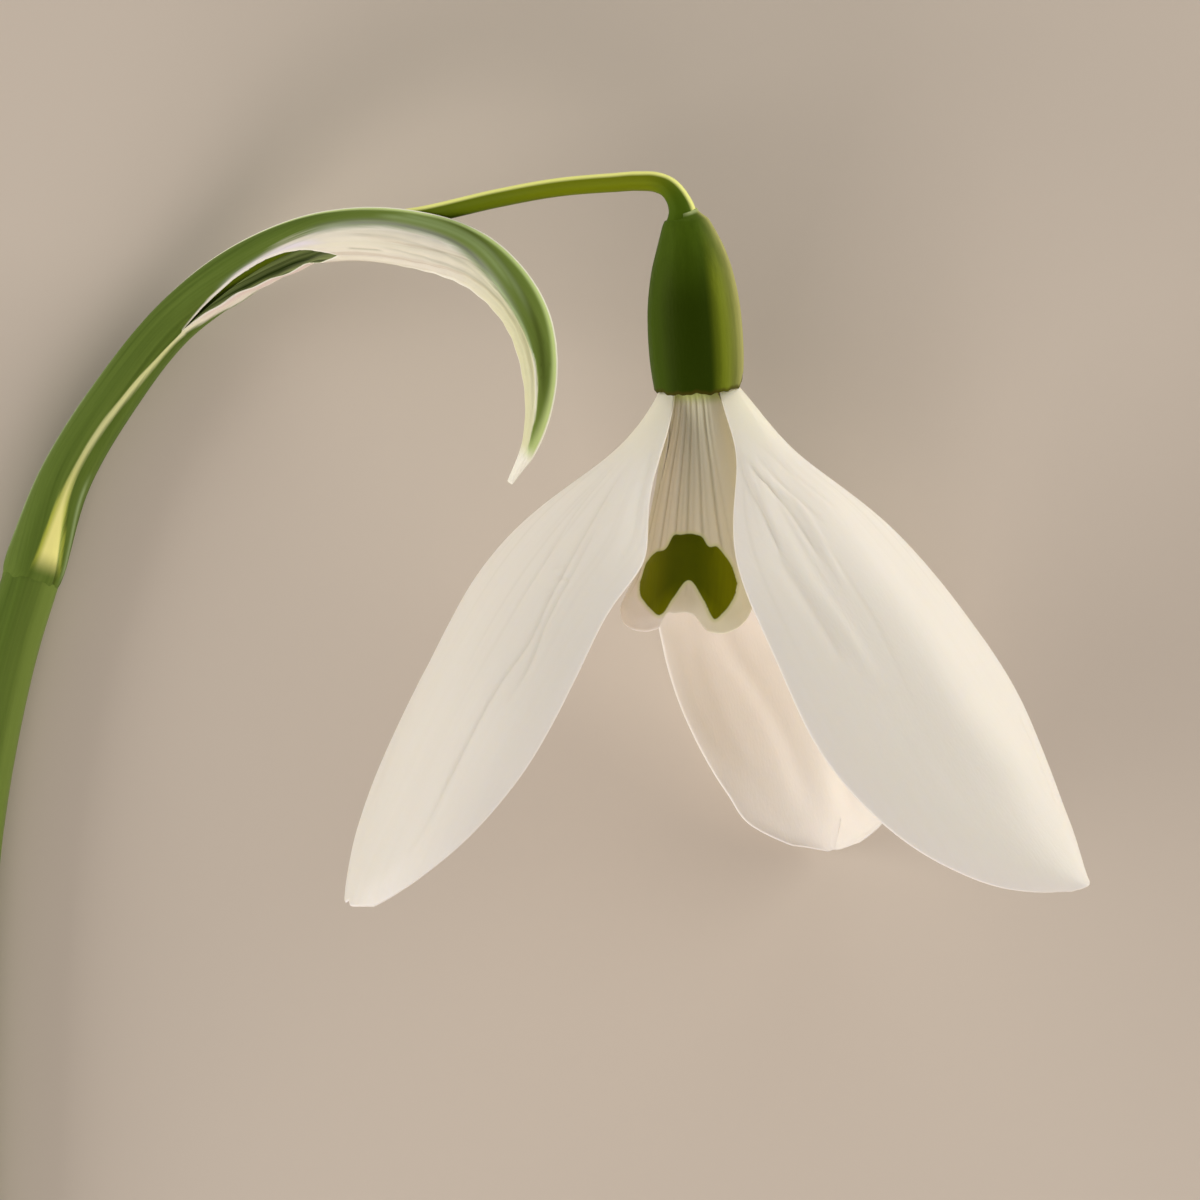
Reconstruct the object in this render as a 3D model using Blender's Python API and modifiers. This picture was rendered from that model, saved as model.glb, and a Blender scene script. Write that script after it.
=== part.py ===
"""A picked snowdrop flower lying on a flat surface.

The scape lies along the surface, the spathe arches up from it, and the pedicel carries the flower, which
rests on its back tepal. Metres, +Z up, the surface at z = 0, +Y from the cut end towards the arch. The
origin is under the middle of the whole flower's box.
"""

from math import cos, pi, radians, sin

import bpy
import numpy as np

COLLECTION_NAME = "snowdrop_flower"
MM = 0.001

# Driving dimensions, in millimetres and degrees.
OVARY_BASE = (9.5, 23.1, 15.0)  # centre of the ovary's lower face, where every tepal starts
FLOWER_TILT = 6.5  # how far the flower's mouth turns down towards the surface
FLOWER_TURN = 3.5  # how far the flower turns about the vertical
GAP = 0.05  # clearance between the ovary and what grows from it

SCAPE_RADIUS = 1.38
SPATHE_THICKNESS = 0.30
OUTER_THICKNESS = 0.38
INNER_THICKNESS = 0.28

# Where a tepal's shape is given, as a share of its length from the claw.
LEAN_AT = (0, 0.15, 0.35, 0.65, 1)
SWAY_AT = (0, 0.35, 0.7, 1)
ROLL_AT = (0, 0.3, 0.65, 1)
CUP_AT = (0, 0.3, 0.65, 1)
WIDTH_AT = (0, 0.12, 0.3, 0.5, 0.7, 0.86, 0.96, 1)

# Each outer tepal: azimuth about the flower's axis (0 faces up, 90 to the right), length, lean away from
# the axis, sideways sway, roll about its own line, half angle of its hollow, and half width.
OUTER_RADIUS = 1.72
OUTER_TEPALS = {
    "outer_tepal_left": dict(azimuth=-72, length=27.5, lean=(29, 54, 46, 31, 27), sway=(3, 13, -5, -3),
                             roll=(-6, -11, -12, -7), cup=(34, 34, 39, 27),
                             width=(1.0, 2.4, 5.6, 6.0, 5.9, 4.4, 2.2, 0.2)),
    "outer_tepal_right": dict(azimuth=46, length=28.2, lean=(42, 48, 45, 36, 41), sway=(-2, -2, 2, 17),
                              roll=(13, 3, 7, 2), cup=(34, 32, 40, 50),
                              width=(1.0, 1.7, 5.3, 6.3, 6.3, 4.6, 2.3, 0.2)),
    "outer_tepal_back": dict(azimuth=168, length=26.8, lean=(24, 50, 40, 12, 9), sway=(-1, -7, -6, -4),
                             roll=(0, 1, 5, 6), cup=(34, 44, 44, 37),
                             width=(1.0, 2.1, 4.6, 6.0, 5.8, 4.5, 2.4, 0.2)),
}

# The inner tepals share one shape; the sinus is the notch between the two lobes of the tip.
INNER_RADIUS = 1.12
INNER_AZIMUTHS = {"inner_tepal_front": -20, "inner_tepal_right": 103, "inner_tepal_left": 222}
INNER_SHAPE = dict(length=10.6, lean=(5, 13, 13, 9, 22), sway=(0, -2, -2, 0), roll=(0, 0, 0, 0),
                   cup=(40, 46, 46, 30), width=(0.9, 1.1, 1.6, 2.2, 2.8, 3.15, 3.2, 3.1))
SINUS_DEPTH = 0.085
SINUS_HALF_WIDTH = 0.2
LOBE_SHOULDER = 0.07
LOBE_SQUARENESS = 5

# The ovary's profile: height above its lower face and radius, from the collar down.
OVARY_PROFILE = ((8.15, 0.0), (8.15, 0.58), (7.9, 0.74), (7.1, 1.19), (6.1, 1.55), (5.1, 1.82), (3.8, 2.04),
                 (2.6, 2.11), (1.4, 2.10), (0.2, 2.0), (0.0, 1.9), (0.0, 0.0))

STAMEN_COUNT = 6
STAMEN_CIRCLE = 0.62
STAMEN_LEAN = 3.5
STAMEN_PROFILE = ((0.0, 0.0), (0.0, 0.12), (-1.1, 0.11), (-1.3, 0.25), (-2.4, 0.28), (-4.6, 0.19),
                  (-5.7, 0.05), (-5.8, 0.0))
STYLE_PROFILE = ((0.0, 0.0), (0.0, 0.17), (-5.5, 0.14), (-7.4, 0.10), (-7.7, 0.0))

# Routes, as offsets from the ovary's base in x and y, and height above the surface.
SCAPE_ROUTE = ((-30.7, -8.1, 1.39), (-31.8, -11.7, 1.38), (-32.6, -15.2, 1.38), (-33.4, -20.0, 1.38),
               (-33.9, -26.0, 1.38), (-34.2, -34.0, 1.38), (-34.3, -43.0, 1.38), (-34.0, -56.0, 1.38))
SPATHE_ROUTE = ((-30.65, -8.0, 1.39), (-29.2, -3.9, 1.39), (-26.75, 0.0, 1.40), (-23.8, 3.6, 1.60),
                (-20.2, 6.15, 2.9), (-16.6, 7.45, 4.9), (-13.0, 7.35, 7.1), (-9.5, 5.85, 8.8), (-7.45, 3.1, 9.7),
                (-6.95, 0.2, 9.9), (-7.5, -2.6, 9.6), (-8.4, -4.1, 9.2))
PEDICEL_ROUTE = ((-30.65, -7.8, 1.40), (-29.2, -4.0, 1.40), (-26.8, 0.0, 1.42), (-23.9, 3.55, 1.65),
                 (-20.6, 6.1, 2.9), (-16.8, 7.6, 5.0), (-12.4, 8.1, 7.4), (-9.0, 8.75, 9.6), (-6.2, 9.1, 11.8),
                 (-3.6, 9.2, 13.8), (-2.2, 9.15, 14.9), (-1.35, 8.98, 15.5), (-0.8, 8.68, 15.85),
                 (-0.55, 8.42, 15.94), (-0.515, 8.2, 15.93))
PEDICEL_RADIUS_AT = (0, 0.7, 0.9, 1)
PEDICEL_RADIUS = (0.46, 0.45, 0.50, 0.56)

# The spathe's section along its route: half width across the arch, half depth, half angle of the wall
# (180 would close it into a tube) and twist of the closed side up from the surface.
SECTION_AT = (0, 0.12, 0.3, 0.5, 0.7, 0.85, 0.95, 1)
SPATHE_HALF_WIDTH = (1.2, 1.1, 1.0, 1.12, 1.25, 1.0, 0.5, 0.15)
SPATHE_HALF_DEPTH = (1.23, 1.23, 1.22, 1.15, 1.1, 0.9, 0.5, 0.2)
SPATHE_WALL_ANGLE = (168, 160, 145, 128, 122, 118, 105, 95)
SPATHE_TWIST = (50, 45, 30, 18, 15, 15, 15, 15)

# Facets: cells across and along a grid, steps round a turned piece, rings along a stalk.
OUTER_GRID = (10, 16)
INNER_GRID = (14, 11)
SPATHE_GRID = (14, 36)
OVARY_STEPS = 22
STAMEN_STEPS = 8
PEDICEL_RINGS = 36
PEDICEL_CROWDING = 1.6
SCAPE_RINGS = 16
LINE_STEPS = 200

COLOURS = {
    "scape_green": (0.12, 0.22, 0.03),
    "spathe_green": (0.16, 0.27, 0.05),
    "pedicel_green": (0.14, 0.22, 0.02),
    "ovary_green": (0.06, 0.14, 0.01),
    "outer_white": (0.84, 0.82, 0.77),
    "inner_white": (0.70, 0.69, 0.58),
    "anther_orange": (0.80, 0.42, 0.05),
    "style_white": (0.75, 0.76, 0.58),
}
ROUGHNESS = 0.45


def clear_scene():
    for item in list(bpy.data.objects):
        bpy.data.objects.remove(item, do_unlink=True)


def make_material(name):
    material = bpy.data.materials.new(name)
    material.use_nodes = True
    shader = material.node_tree.nodes["Principled BSDF"]
    shader.inputs["Base Color"].default_value = (*COLOURS[name], 1.0)
    shader.inputs["Roughness"].default_value = ROUGHNESS
    shader.inputs["Metallic"].default_value = 0.0
    return material


def finish(item, name, material, collection, parent=None):
    """Name an object and its data, and give it its material, collection and parent."""
    item.name = name
    item.data.name = name
    item.data.materials.clear()
    item.data.materials.append(material)
    for owner in list(item.users_collection):
        owner.objects.unlink(item)
    collection.objects.link(item)
    item.parent = parent
    return item


def smooth_curve(stations, values, at):
    """The smooth curve through the values given at the stations, read at every point of at."""
    s = np.array(stations, float)
    v = np.array(values, float)
    step = np.diff(s)
    rise = np.diff(v, axis=0) / (step if v.ndim == 1 else step[:, None])
    weight = step if v.ndim == 1 else step[:, None]
    slope = np.empty_like(v)
    slope[0] = rise[0]
    slope[-1] = rise[-1]
    slope[1:-1] = (rise[:-1] * weight[1:] + rise[1:] * weight[:-1]) / (weight[1:] + weight[:-1])
    at = np.asarray(at, float)
    i = np.clip(np.searchsorted(s, at, side="right") - 1, 0, len(step) - 1)
    h = step[i]
    t = (at - s[i]) / h
    if v.ndim > 1:
        h = h[..., None]
        t = t[..., None]
    return ((2 * t**3 - 3 * t**2 + 1) * v[i] + (t**3 - 2 * t**2 + t) * h * slope[i]
            + (3 * t**2 - 2 * t**3) * v[i + 1] + (t**3 - t**2) * h * slope[i + 1])


def arc_stations(points):
    """Each point's share of the way along the route."""
    steps = np.linalg.norm(np.diff(points, axis=0), axis=1)
    return np.concatenate([[0.0], np.cumsum(steps)]) / steps.sum()


def unit(vectors):
    return vectors / np.linalg.norm(vectors, axis=-1, keepdims=True)


def add_grid(across, along):
    """A flat grid whose vertices still have to be placed, and their shares across (-1..1) and along (0..1)."""
    bpy.ops.mesh.primitive_grid_add(x_subdivisions=across, y_subdivisions=along, size=2)
    item = bpy.context.object
    flat = np.empty(len(item.data.vertices) * 3)
    item.data.vertices.foreach_get("co", flat)
    flat = flat.reshape(-1, 3)
    return item, flat[:, 0], np.clip((flat[:, 1] + 1) / 2, 0, 1)


def place_vertices(item, points, thickness):
    """Bend the grid to the points, in millimetres, and give it its thickness."""
    item.data.vertices.foreach_set("co", (points * MM).ravel())
    item.data.update()
    item.data.shade_smooth()
    solid = item.modifiers.new("Thickness", "SOLIDIFY")
    solid.thickness = thickness * MM
    solid.offset = 0


def tepal_line(shape, base_radius, drop, u):
    """A tepal's middle line at azimuth 0, with its direction, sideways and outward directions."""
    fine = np.linspace(0, 1, LINE_STEPS + 1)
    lean = np.radians(smooth_curve(LEAN_AT, shape["lean"], fine))
    sway = np.radians(smooth_curve(SWAY_AT, shape["sway"], fine))
    heading = np.stack([np.sin(sway), -np.sin(lean) * np.cos(sway), -np.cos(lean) * np.cos(sway)], -1)
    middle = (heading[1:] + heading[:-1]) / 2 * shape["length"] / LINE_STEPS
    line = np.concatenate([np.zeros((1, 3)), np.cumsum(middle, axis=0)]) + (0, -base_radius, -drop)
    at = np.stack([np.interp(u, fine, line[:, k]) for k in range(3)], -1)
    along = unit(np.stack([np.interp(u, fine, heading[:, k]) for k in range(3)], -1))
    side = unit(np.array([1.0, 0, 0]) - along * along[:, :1])
    outward = np.cross(along, side)
    outward *= np.sign(-outward[:, 1:2] + 1e-9)
    roll = np.radians(smooth_curve(ROLL_AT, shape["roll"], u))[:, None]
    return at, side * np.cos(roll) + outward * np.sin(roll), outward * np.cos(roll) - side * np.sin(roll)


def tepal_points(shape, base_radius, drop, across, u):
    """Points of a hollow tepal: a circular arc across at every point of its middle line."""
    at, side, outward = tepal_line(shape, base_radius, drop, u)
    half_width = smooth_curve(WIDTH_AT, shape["width"], u)
    cup = np.radians(smooth_curve(CUP_AT, shape["cup"], u))
    radius = (half_width / cup)[:, None]
    angle = (cup * across)[:, None]
    return at + radius * np.sin(angle) * side - radius * (1 - np.cos(angle)) * outward


def add_outer_tepals(flower, collection):
    material = make_material("outer_white")
    for name, shape in OUTER_TEPALS.items():
        item, across, along = add_grid(*OUTER_GRID)
        drop = OUTER_THICKNESS / 2 + GAP
        place_vertices(item, tepal_points(shape, OUTER_RADIUS, drop, across, along), OUTER_THICKNESS)
        item.rotation_euler[2] = radians(shape["azimuth"])
        finish(item, name, material, collection, flower)


def lobed_tip(across):
    """How far down the tepal its edge reaches: two rounded lobes with the sinus between them."""
    sinus = SINUS_DEPTH * np.exp(-(across / SINUS_HALF_WIDTH) ** 2)
    shoulder = LOBE_SHOULDER * np.abs(across) ** LOBE_SQUARENESS
    return 1 - sinus - shoulder


def add_inner_tepals(flower, collection):
    material = make_material("inner_white")
    for name, azimuth in INNER_AZIMUTHS.items():
        item, across, along = add_grid(*INNER_GRID)
        drop = INNER_THICKNESS / 2 + GAP
        reach = along * lobed_tip(across)
        place_vertices(item, tepal_points(INNER_SHAPE, INNER_RADIUS, drop, across, reach), INNER_THICKNESS)
        item.rotation_euler[2] = radians(azimuth)
        finish(item, name, material, collection, flower)


def add_turned(profile, steps):
    """A turned body: (height, radius) pairs from the top down, swept round the axis."""
    mesh = bpy.data.meshes.new("profile")
    points = [(radius * MM, 0, height * MM) for height, radius in profile]
    mesh.from_pydata(points, [(i, i + 1) for i in range(len(points) - 1)], [])
    item = bpy.data.objects.new("profile", mesh)
    bpy.context.scene.collection.objects.link(item)
    screw = item.modifiers.new("Turn", "SCREW")
    screw.axis = "Z"
    screw.steps = steps
    screw.render_steps = steps
    screw.use_merge_vertices = True
    screw.merge_threshold = 0.00001
    screw.use_smooth_shade = True
    return item


def add_ovary(flower, collection):
    item = add_turned(OVARY_PROFILE, OVARY_STEPS)
    finish(item, "ovary", make_material("ovary_green"), collection, flower)


def add_stamens_and_style(flower, collection):
    material = make_material("anther_orange")
    for number in range(STAMEN_COUNT):
        item = add_turned(STAMEN_PROFILE, STAMEN_STEPS)
        azimuth = 2 * pi * number / STAMEN_COUNT
        item.location = (sin(azimuth) * STAMEN_CIRCLE * MM, -cos(azimuth) * STAMEN_CIRCLE * MM, -GAP * MM)
        item.rotation_euler = (radians(-STAMEN_LEAN), 0, azimuth)
        finish(item, f"stamen_{number + 1}", material, collection, flower)
    style = add_turned(STYLE_PROFILE, STAMEN_STEPS)
    style.location[2] = -GAP * MM
    finish(style, "style", make_material("style_white"), collection, flower)


def add_stalk(route, radius_at, radii, rings, crowding):
    """A round stalk along a route, with flat ends; crowding above 1 brings its rings closer at the far end."""
    route = np.array(route, float) + (OVARY_BASE[0], OVARY_BASE[1], 0)
    stations = arc_stations(route)
    at = 1 - (1 - np.linspace(0, 1, rings)) ** crowding
    points = smooth_curve(stations, route, at)
    radius = smooth_curve(radius_at, radii, at)
    curve = bpy.data.curves.new("stalk", "CURVE")
    curve.dimensions = "3D"
    curve.bevel_depth = MM
    curve.bevel_resolution = 4
    curve.use_fill_caps = True
    spline = curve.splines.new("POLY")
    spline.points.add(rings - 1)
    for point, place, size in zip(spline.points, points, radius):
        point.co = (*(place * MM), 1)
        point.radius = size
    item = bpy.data.objects.new("stalk", curve)
    bpy.context.scene.collection.objects.link(item)
    return item


def spathe_points(across, along):
    """Points of the spathe's wall: an open oval round the route, its open side outwards on the arch."""
    points = np.array(SPATHE_ROUTE, float) + (OVARY_BASE[0], OVARY_BASE[1], 0)
    stations = arc_stations(points)
    centre = smooth_curve(stations, points, along)
    ahead = unit(smooth_curve(stations, points, np.minimum(along + 0.01, 1))
                 - smooth_curve(stations, points, np.maximum(along - 0.01, 0)))
    up = np.array([0.0, 0, 1])
    inward = unit(np.cross(ahead, up))
    over = np.cross(inward, ahead)
    wall = np.radians(smooth_curve(SECTION_AT, SPATHE_WALL_ANGLE, along))
    twist = np.radians(smooth_curve(SECTION_AT, SPATHE_TWIST, along))
    angle = wall * across + twist
    half_width = smooth_curve(SECTION_AT, SPATHE_HALF_WIDTH, along)
    half_depth = smooth_curve(SECTION_AT, SPATHE_HALF_DEPTH, along)
    return centre + (half_width * np.cos(angle))[:, None] * inward + (half_depth * np.sin(angle))[:, None] * over


def add_spathe(collection):
    item, across, along = add_grid(*SPATHE_GRID)
    place_vertices(item, spathe_points(across, along), SPATHE_THICKNESS)
    finish(item, "spathe", make_material("spathe_green"), collection)


def add_flower_frame(collection):
    """The empty at the ovary's base: its -Z is the flower's axis, its -Y faces up from the surface."""
    flower = bpy.data.objects.new("flower", None)
    flower.location = [value * MM for value in OVARY_BASE]
    flower.rotation_euler = (radians(FLOWER_TILT - 90), 0, radians(FLOWER_TURN))
    flower.empty_display_size = 2 * MM
    collection.objects.link(flower)
    return flower


def main():
    clear_scene()
    collection = bpy.data.collections.new(COLLECTION_NAME)
    bpy.context.scene.collection.children.link(collection)
    flower = add_flower_frame(collection)
    add_ovary(flower, collection)
    add_outer_tepals(flower, collection)
    add_inner_tepals(flower, collection)
    add_stamens_and_style(flower, collection)
    add_spathe(collection)
    pedicel = add_stalk(PEDICEL_ROUTE, PEDICEL_RADIUS_AT, PEDICEL_RADIUS, PEDICEL_RINGS, PEDICEL_CROWDING)
    finish(pedicel, "pedicel", make_material("pedicel_green"), collection)
    scape = add_stalk(SCAPE_ROUTE, (0, 1), (SCAPE_RADIUS, SCAPE_RADIUS), SCAPE_RINGS, 1)
    finish(scape, "scape", make_material("scape_green"), collection)


main()
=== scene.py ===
"""The looks of a picked snowdrop flower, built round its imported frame.

The frame gives every place and size. Each part of the flower is rebuilt here as a fine mesh with its own
finish. Shapes are worked out in millimetres in the frame's axes: +Z is up from the surface that the flower
lies on, and +Y runs from the cut end of the stalk towards the arch.
"""

from math import pi, radians

import bpy
import numpy as np
from bpy.props import FloatProperty, FloatVectorProperty, PointerProperty
from mathutils import Matrix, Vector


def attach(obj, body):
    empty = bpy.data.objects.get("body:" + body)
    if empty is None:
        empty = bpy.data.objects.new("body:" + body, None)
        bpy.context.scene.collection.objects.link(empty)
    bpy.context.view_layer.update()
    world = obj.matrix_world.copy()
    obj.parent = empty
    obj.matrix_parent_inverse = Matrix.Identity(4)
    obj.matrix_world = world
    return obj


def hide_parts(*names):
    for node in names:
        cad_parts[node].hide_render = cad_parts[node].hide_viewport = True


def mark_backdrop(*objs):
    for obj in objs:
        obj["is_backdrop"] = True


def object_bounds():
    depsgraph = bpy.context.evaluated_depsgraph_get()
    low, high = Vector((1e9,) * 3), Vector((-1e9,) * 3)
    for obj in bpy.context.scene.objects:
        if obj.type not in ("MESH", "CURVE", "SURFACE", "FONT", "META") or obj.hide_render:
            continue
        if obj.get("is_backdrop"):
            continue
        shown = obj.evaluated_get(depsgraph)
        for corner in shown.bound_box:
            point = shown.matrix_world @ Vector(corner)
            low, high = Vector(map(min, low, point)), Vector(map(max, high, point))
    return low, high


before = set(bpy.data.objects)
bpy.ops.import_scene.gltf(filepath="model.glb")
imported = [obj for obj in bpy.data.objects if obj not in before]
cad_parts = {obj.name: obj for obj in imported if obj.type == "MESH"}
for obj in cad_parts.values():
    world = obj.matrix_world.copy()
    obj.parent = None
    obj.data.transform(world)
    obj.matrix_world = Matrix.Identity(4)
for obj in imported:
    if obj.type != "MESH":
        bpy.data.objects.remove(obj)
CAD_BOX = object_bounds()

bl_info = {
    "name": "Snowdrop flower",
    "version": (1, 0, 0),
    "blender": (4, 5, 0),
    "location": "3D View > Sidebar > Snowdrop",
    "description": "Builds a picked snowdrop flower, piece by piece, round its packed frame",
    "category": "Add Mesh",
}

MM = 0.001
BODY = "root"

# ---- The flower's shape, in millimetres and degrees ----

# The flower's axis: how far it rises from the tepals' tips to the pedicel, and its turn about the vertical.
FLOWER_TILT = 6.5
FLOWER_TURN = 3.5
# Steps along a tepal's middle line.
LINE_STEPS = 200

# Where a tepal's shape is given, as a share of its length from the claw.
LEAN_AT = (0, 0.15, 0.35, 0.65, 1)
SWAY_AT = (0, 0.35, 0.7, 1)
ROLL_AT = (0, 0.3, 0.65, 1)
CUP_AT = (0, 0.3, 0.65, 1)
WIDTH_AT = (0, 0.12, 0.3, 0.5, 0.7, 0.86, 0.93, 0.965, 0.985, 1)
EDGE_AT = (-0.01, 0.08, 0.16, 0.3, 0.4, 0.5, 0.7, 0.85, 0.95, 1)
END_AT = (-1, -0.7, -0.35, -0.1, 0.2, 0.6, 1)

# How far the outer tepals' claws stand from the axis and below the ovary's base, and their thickness inside
# and at the edge.
OUTER_RADIUS = 1.72
OUTER_DROP = 0.24
OUTER_FULL = 0.36
OUTER_EDGE = 0.11
PLAIN_EDGE = (0,) * len(EDGE_AT)
# Where a tepal's mesh starts and how much further up its right side does, as shares of its length, and how
# far its rows crowd towards the tip.
CLAW_START = -0.008
CLAW_RISE = 0.008
TIP_CROWDING = 1.25
# Each outer tepal: azimuth about the flower's axis (0 faces up, 90 to the right), length, lean away from
# the axis, sideways sway, roll about its own line, half angle of its hollow, half width and what is added
# to it on either side, how far along the tip ends, across it, and the seed of its veins.
OUTER_TEPALS = {
    "outer_tepal_left": dict(
        azimuth=-72, length=27.25, lean=(29, 54, 46, 31, 27), sway=(3, 13, -5, -3), roll=(-6, -11, -12, -7),
        cup=(34, 34, 39, 27), width=(1.0, 2.4, 5.6, 6.0, 5.9, 4.4, 3.1, 2.15, 1.45, 0.8),
        left=PLAIN_EDGE, right=(-0.2, -0.2, -0.1, 0.05, -0.24, 0, -0.12, -0.12, -0.1, 0),
        end=(0.982, 0.99, 0.994, 0.989, 0.994, 0.99, 0.979), seed=3),
    "outer_tepal_right": dict(
        azimuth=46, length=28.2, lean=(42, 48, 45, 36, 41), sway=(-2, -2, 2, 17), roll=(13, 3, 7, 2),
        cup=(34, 32, 40, 50), width=(1.0, 1.7, 5.3, 6.3, 6.3, 4.6, 3.05, 1.85, 1.0, 0.45),
        left=(-0.75, -0.3, 0.18, -0.13, -0.1, 0, -0.05, -0.15, -0.1, 0),
        right=(0.3, 0.32, 0.2, 0.2, 0.27, 0.37, 0.5, 0.28, 0, 0),
        end=(0.99, 0.996, 0.999, 1, 1, 0.996, 0.99), seed=5),
    "outer_tepal_back": dict(
        azimuth=168, length=26.5, lean=(24, 50, 40, 12, 9), sway=(-1, -7, -6, -4), roll=(0, 1, 5, 6),
        cup=(34, 44, 44, 37), width=(1.0, 2.1, 4.6, 6.0, 5.8, 4.5, 3.55, 2.3, 1.35, 0.55),
        left=PLAIN_EDGE, right=(0, 0, 0, -0.1, -0.12, -0.15, -0.1, -0.1, -0.1, 0),
        end=(0.978, 0.989, 0.994, 0.994, 0.996, 0.99, 0.976), seed=8),
}
# Folds and veins of the outer tepals: (across, along) points of the line, its half width, its height (a
# furrow below 0) and how much painted shade it lays on the white along its furrows and folds, in
# millimetres and shares.
TEPAL_STROKES = {
    "outer_tepal_left": (
        (((0.33, 0.12), (0.40, 0.21), (0.42, 0.29), (0.47, 0.36), (0.51, 0.42), (0.55, 0.50), (0.49, 0.58),
          (0.49, 0.66), (0.53, 0.74), (0.60, 0.82), (0.68, 0.90)), 0.12, -0.045, 0.6),
        (((0.50, 0.26), (0.56, 0.37), (0.60, 0.46), (0.65, 0.54), (0.60, 0.62)), 0.13, -0.04, 0.4),
        (((0.43, 0.52), (0.38, 0.60), (0.41, 0.70), (0.52, 0.80)), 0.4, 0.03, 0.0),
        (((0.05, 0.12), (0.15, 0.23), (0.25, 0.38), (0.27, 0.48)), 0.12, -0.03, 0.35),
        (((0.72, 0.08), (0.85, 0.17), (0.85, 0.27), (0.89, 0.36)), 0.16, -0.05, 0.3),
        (((0.98, 0.17), (0.96, 0.24), (0.94, 0.31)), 0.1, -0.03, 0.2),
        (((-0.90, 0.55), (-0.80, 0.70), (-0.70, 0.85), (-0.5, 0.97)), 0.5, 0.09, 0.0),
        (((-0.62, 0.58), (-0.50, 0.72), (-0.38, 0.88)), 0.45, -0.03, 0.08),
        (((0.36, 0.375), (0.45, 0.37), (0.52, 0.38)), 0.09, -0.035, 0.3),
        (((0.43, 0.395), (0.55, 0.388), (0.62, 0.40)), 0.08, -0.04, 0.3),
        (((0.44, 0.412), (0.50, 0.418), (0.58, 0.412)), 0.08, -0.04, 0.25),
        (((0.47, 0.43), (0.55, 0.425), (0.64, 0.435)), 0.08, -0.03, 0.2)),
    "outer_tepal_right": (
        (((-0.10, 0.16), (-0.05, 0.37), (0.0, 0.53), (0.02, 0.68), (0.16, 0.82), (0.16, 0.97)),
         1.9, 0.42, 0.0),
        (((-0.96, 0.08), (-0.67, 0.13), (-0.42, 0.18), (-0.29, 0.23), (-0.27, 0.31), (-0.29, 0.37),
          (-0.31, 0.45)), 0.15, 0.06, 0.0),
        (((-0.86, 0.12), (-0.655, 0.19), (-0.60, 0.24), (-0.60, 0.33)), 0.13, 0.055, 0.0),
        (((-0.80, 0.10), (-0.56, 0.16), (-0.40, 0.23), (-0.36, 0.31), (-0.35, 0.38)), 0.13, -0.055, 0.45),
        (((-0.98, 0.10), (-0.74, 0.17), (-0.655, 0.21), (-0.655, 0.35)), 0.14, -0.055, 0.45),
        (((-0.75, 0.14), (-0.55, 0.26), (-0.53, 0.36), (-0.47, 0.50), (-0.45, 0.62)), 0.3, 0.07, 0.0),
        (((-0.70, 0.30), (-0.62, 0.42), (-0.58, 0.55)), 0.25, -0.05, 0.3),
        (((-0.50, 0.12), (-0.25, 0.22), (-0.15, 0.32)), 0.14, -0.03, 0.25),
        (((-0.30, 0.10), (0.0, 0.20), (0.08, 0.30)), 0.14, -0.02, 0.15),
        (((0.62, 0.68), (0.62, 0.745), (0.58, 0.785), (0.50, 0.83), (0.45, 0.89)), 0.3, -0.11, 0.18)),
    "outer_tepal_back": (
        (((0.56, 0.50), (0.48, 0.61), (0.34, 0.70), (0.24, 0.79), (0.20, 0.87), (0.22, 0.94)),
         0.5, -0.09, 0.0),
        (((0.73, 0.55), (0.71, 0.67), (0.69, 0.76), (0.69, 0.86)), 0.5, 0.05, 0.14),
        (((0.28, 0.56), (0.08, 0.70), (-0.04, 0.84), (-0.10, 0.96)), 0.55, 0.05, 0.2),
        (((-0.25, 0.93), (-0.27, 1.0)), 0.09, 0.04, 0.2),
        (((-0.36, 0.66), (-0.50, 0.96)), 0.7, -0.2, 0.0),
        (((0.98, 0.5), (0.96, 0.7), (0.92, 0.84)), 0.45, -0.08, 0.0)),
}
# The share of a line over which it fades in and out, and its steps between two points.
STROKE_FADE = 0.16
STROKE_STEPS = 8
# Fine veins across an outer tepal, and its pleats: waves across it, height, and where along it they lie.
VEIN_COUNT = 15
PLEATS = ((5.0, 0.7, 0.2, 0.18), (9.0, 0.4, 0.24, 0.18), (3.2, 0.6, 0.6, 0.3))

# The inner tepals share one shape. The tip's reach along the tepal is given across it, from edge to edge.
INNER_RADIUS = 1.12
INNER_DROP = 0.19
INNER_FULL = 0.27
INNER_EDGE = 0.10
INNER_AZIMUTHS = {"inner_tepal_front": -20, "inner_tepal_right": 103, "inner_tepal_left": 222}
INNER_SHAPE = dict(
    length=10.6, lean=(5, 13, 13, 9, 22), sway=(0, -2, -2, 0), roll=(0, 0, 0, 0), cup=(32, 40, 46, 30),
    width=(0.9, 1.1, 1.6, 2.2, 2.8, 3.15, 3.19, 3.2, 3.15, 3.1),
    left=(0.15, 0.25, 0.3, 0.2, 0.12, 0.05, 0, 0, 0, 0),
    right=(0.3, 0.6, 0.85, 0.85, 0.68, 0.5, 0.15, 0, 0, 0))
TIP_AT = (-1, -0.97, -0.9, -0.76, -0.6, -0.45, -0.35, -0.28, -0.12, 0.08, 0.18, 0.27, 0.36, 0.5, 0.65, 0.8,
          0.91, 0.97, 1)
TIP_REACH = (0.79, 0.855, 0.915, 0.965, 0.984, 0.981, 0.968, 0.926, 0.916, 0.914, 0.927, 0.960, 0.988, 0.999,
             0.994, 0.962, 0.915, 0.87, 0.82)
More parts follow.
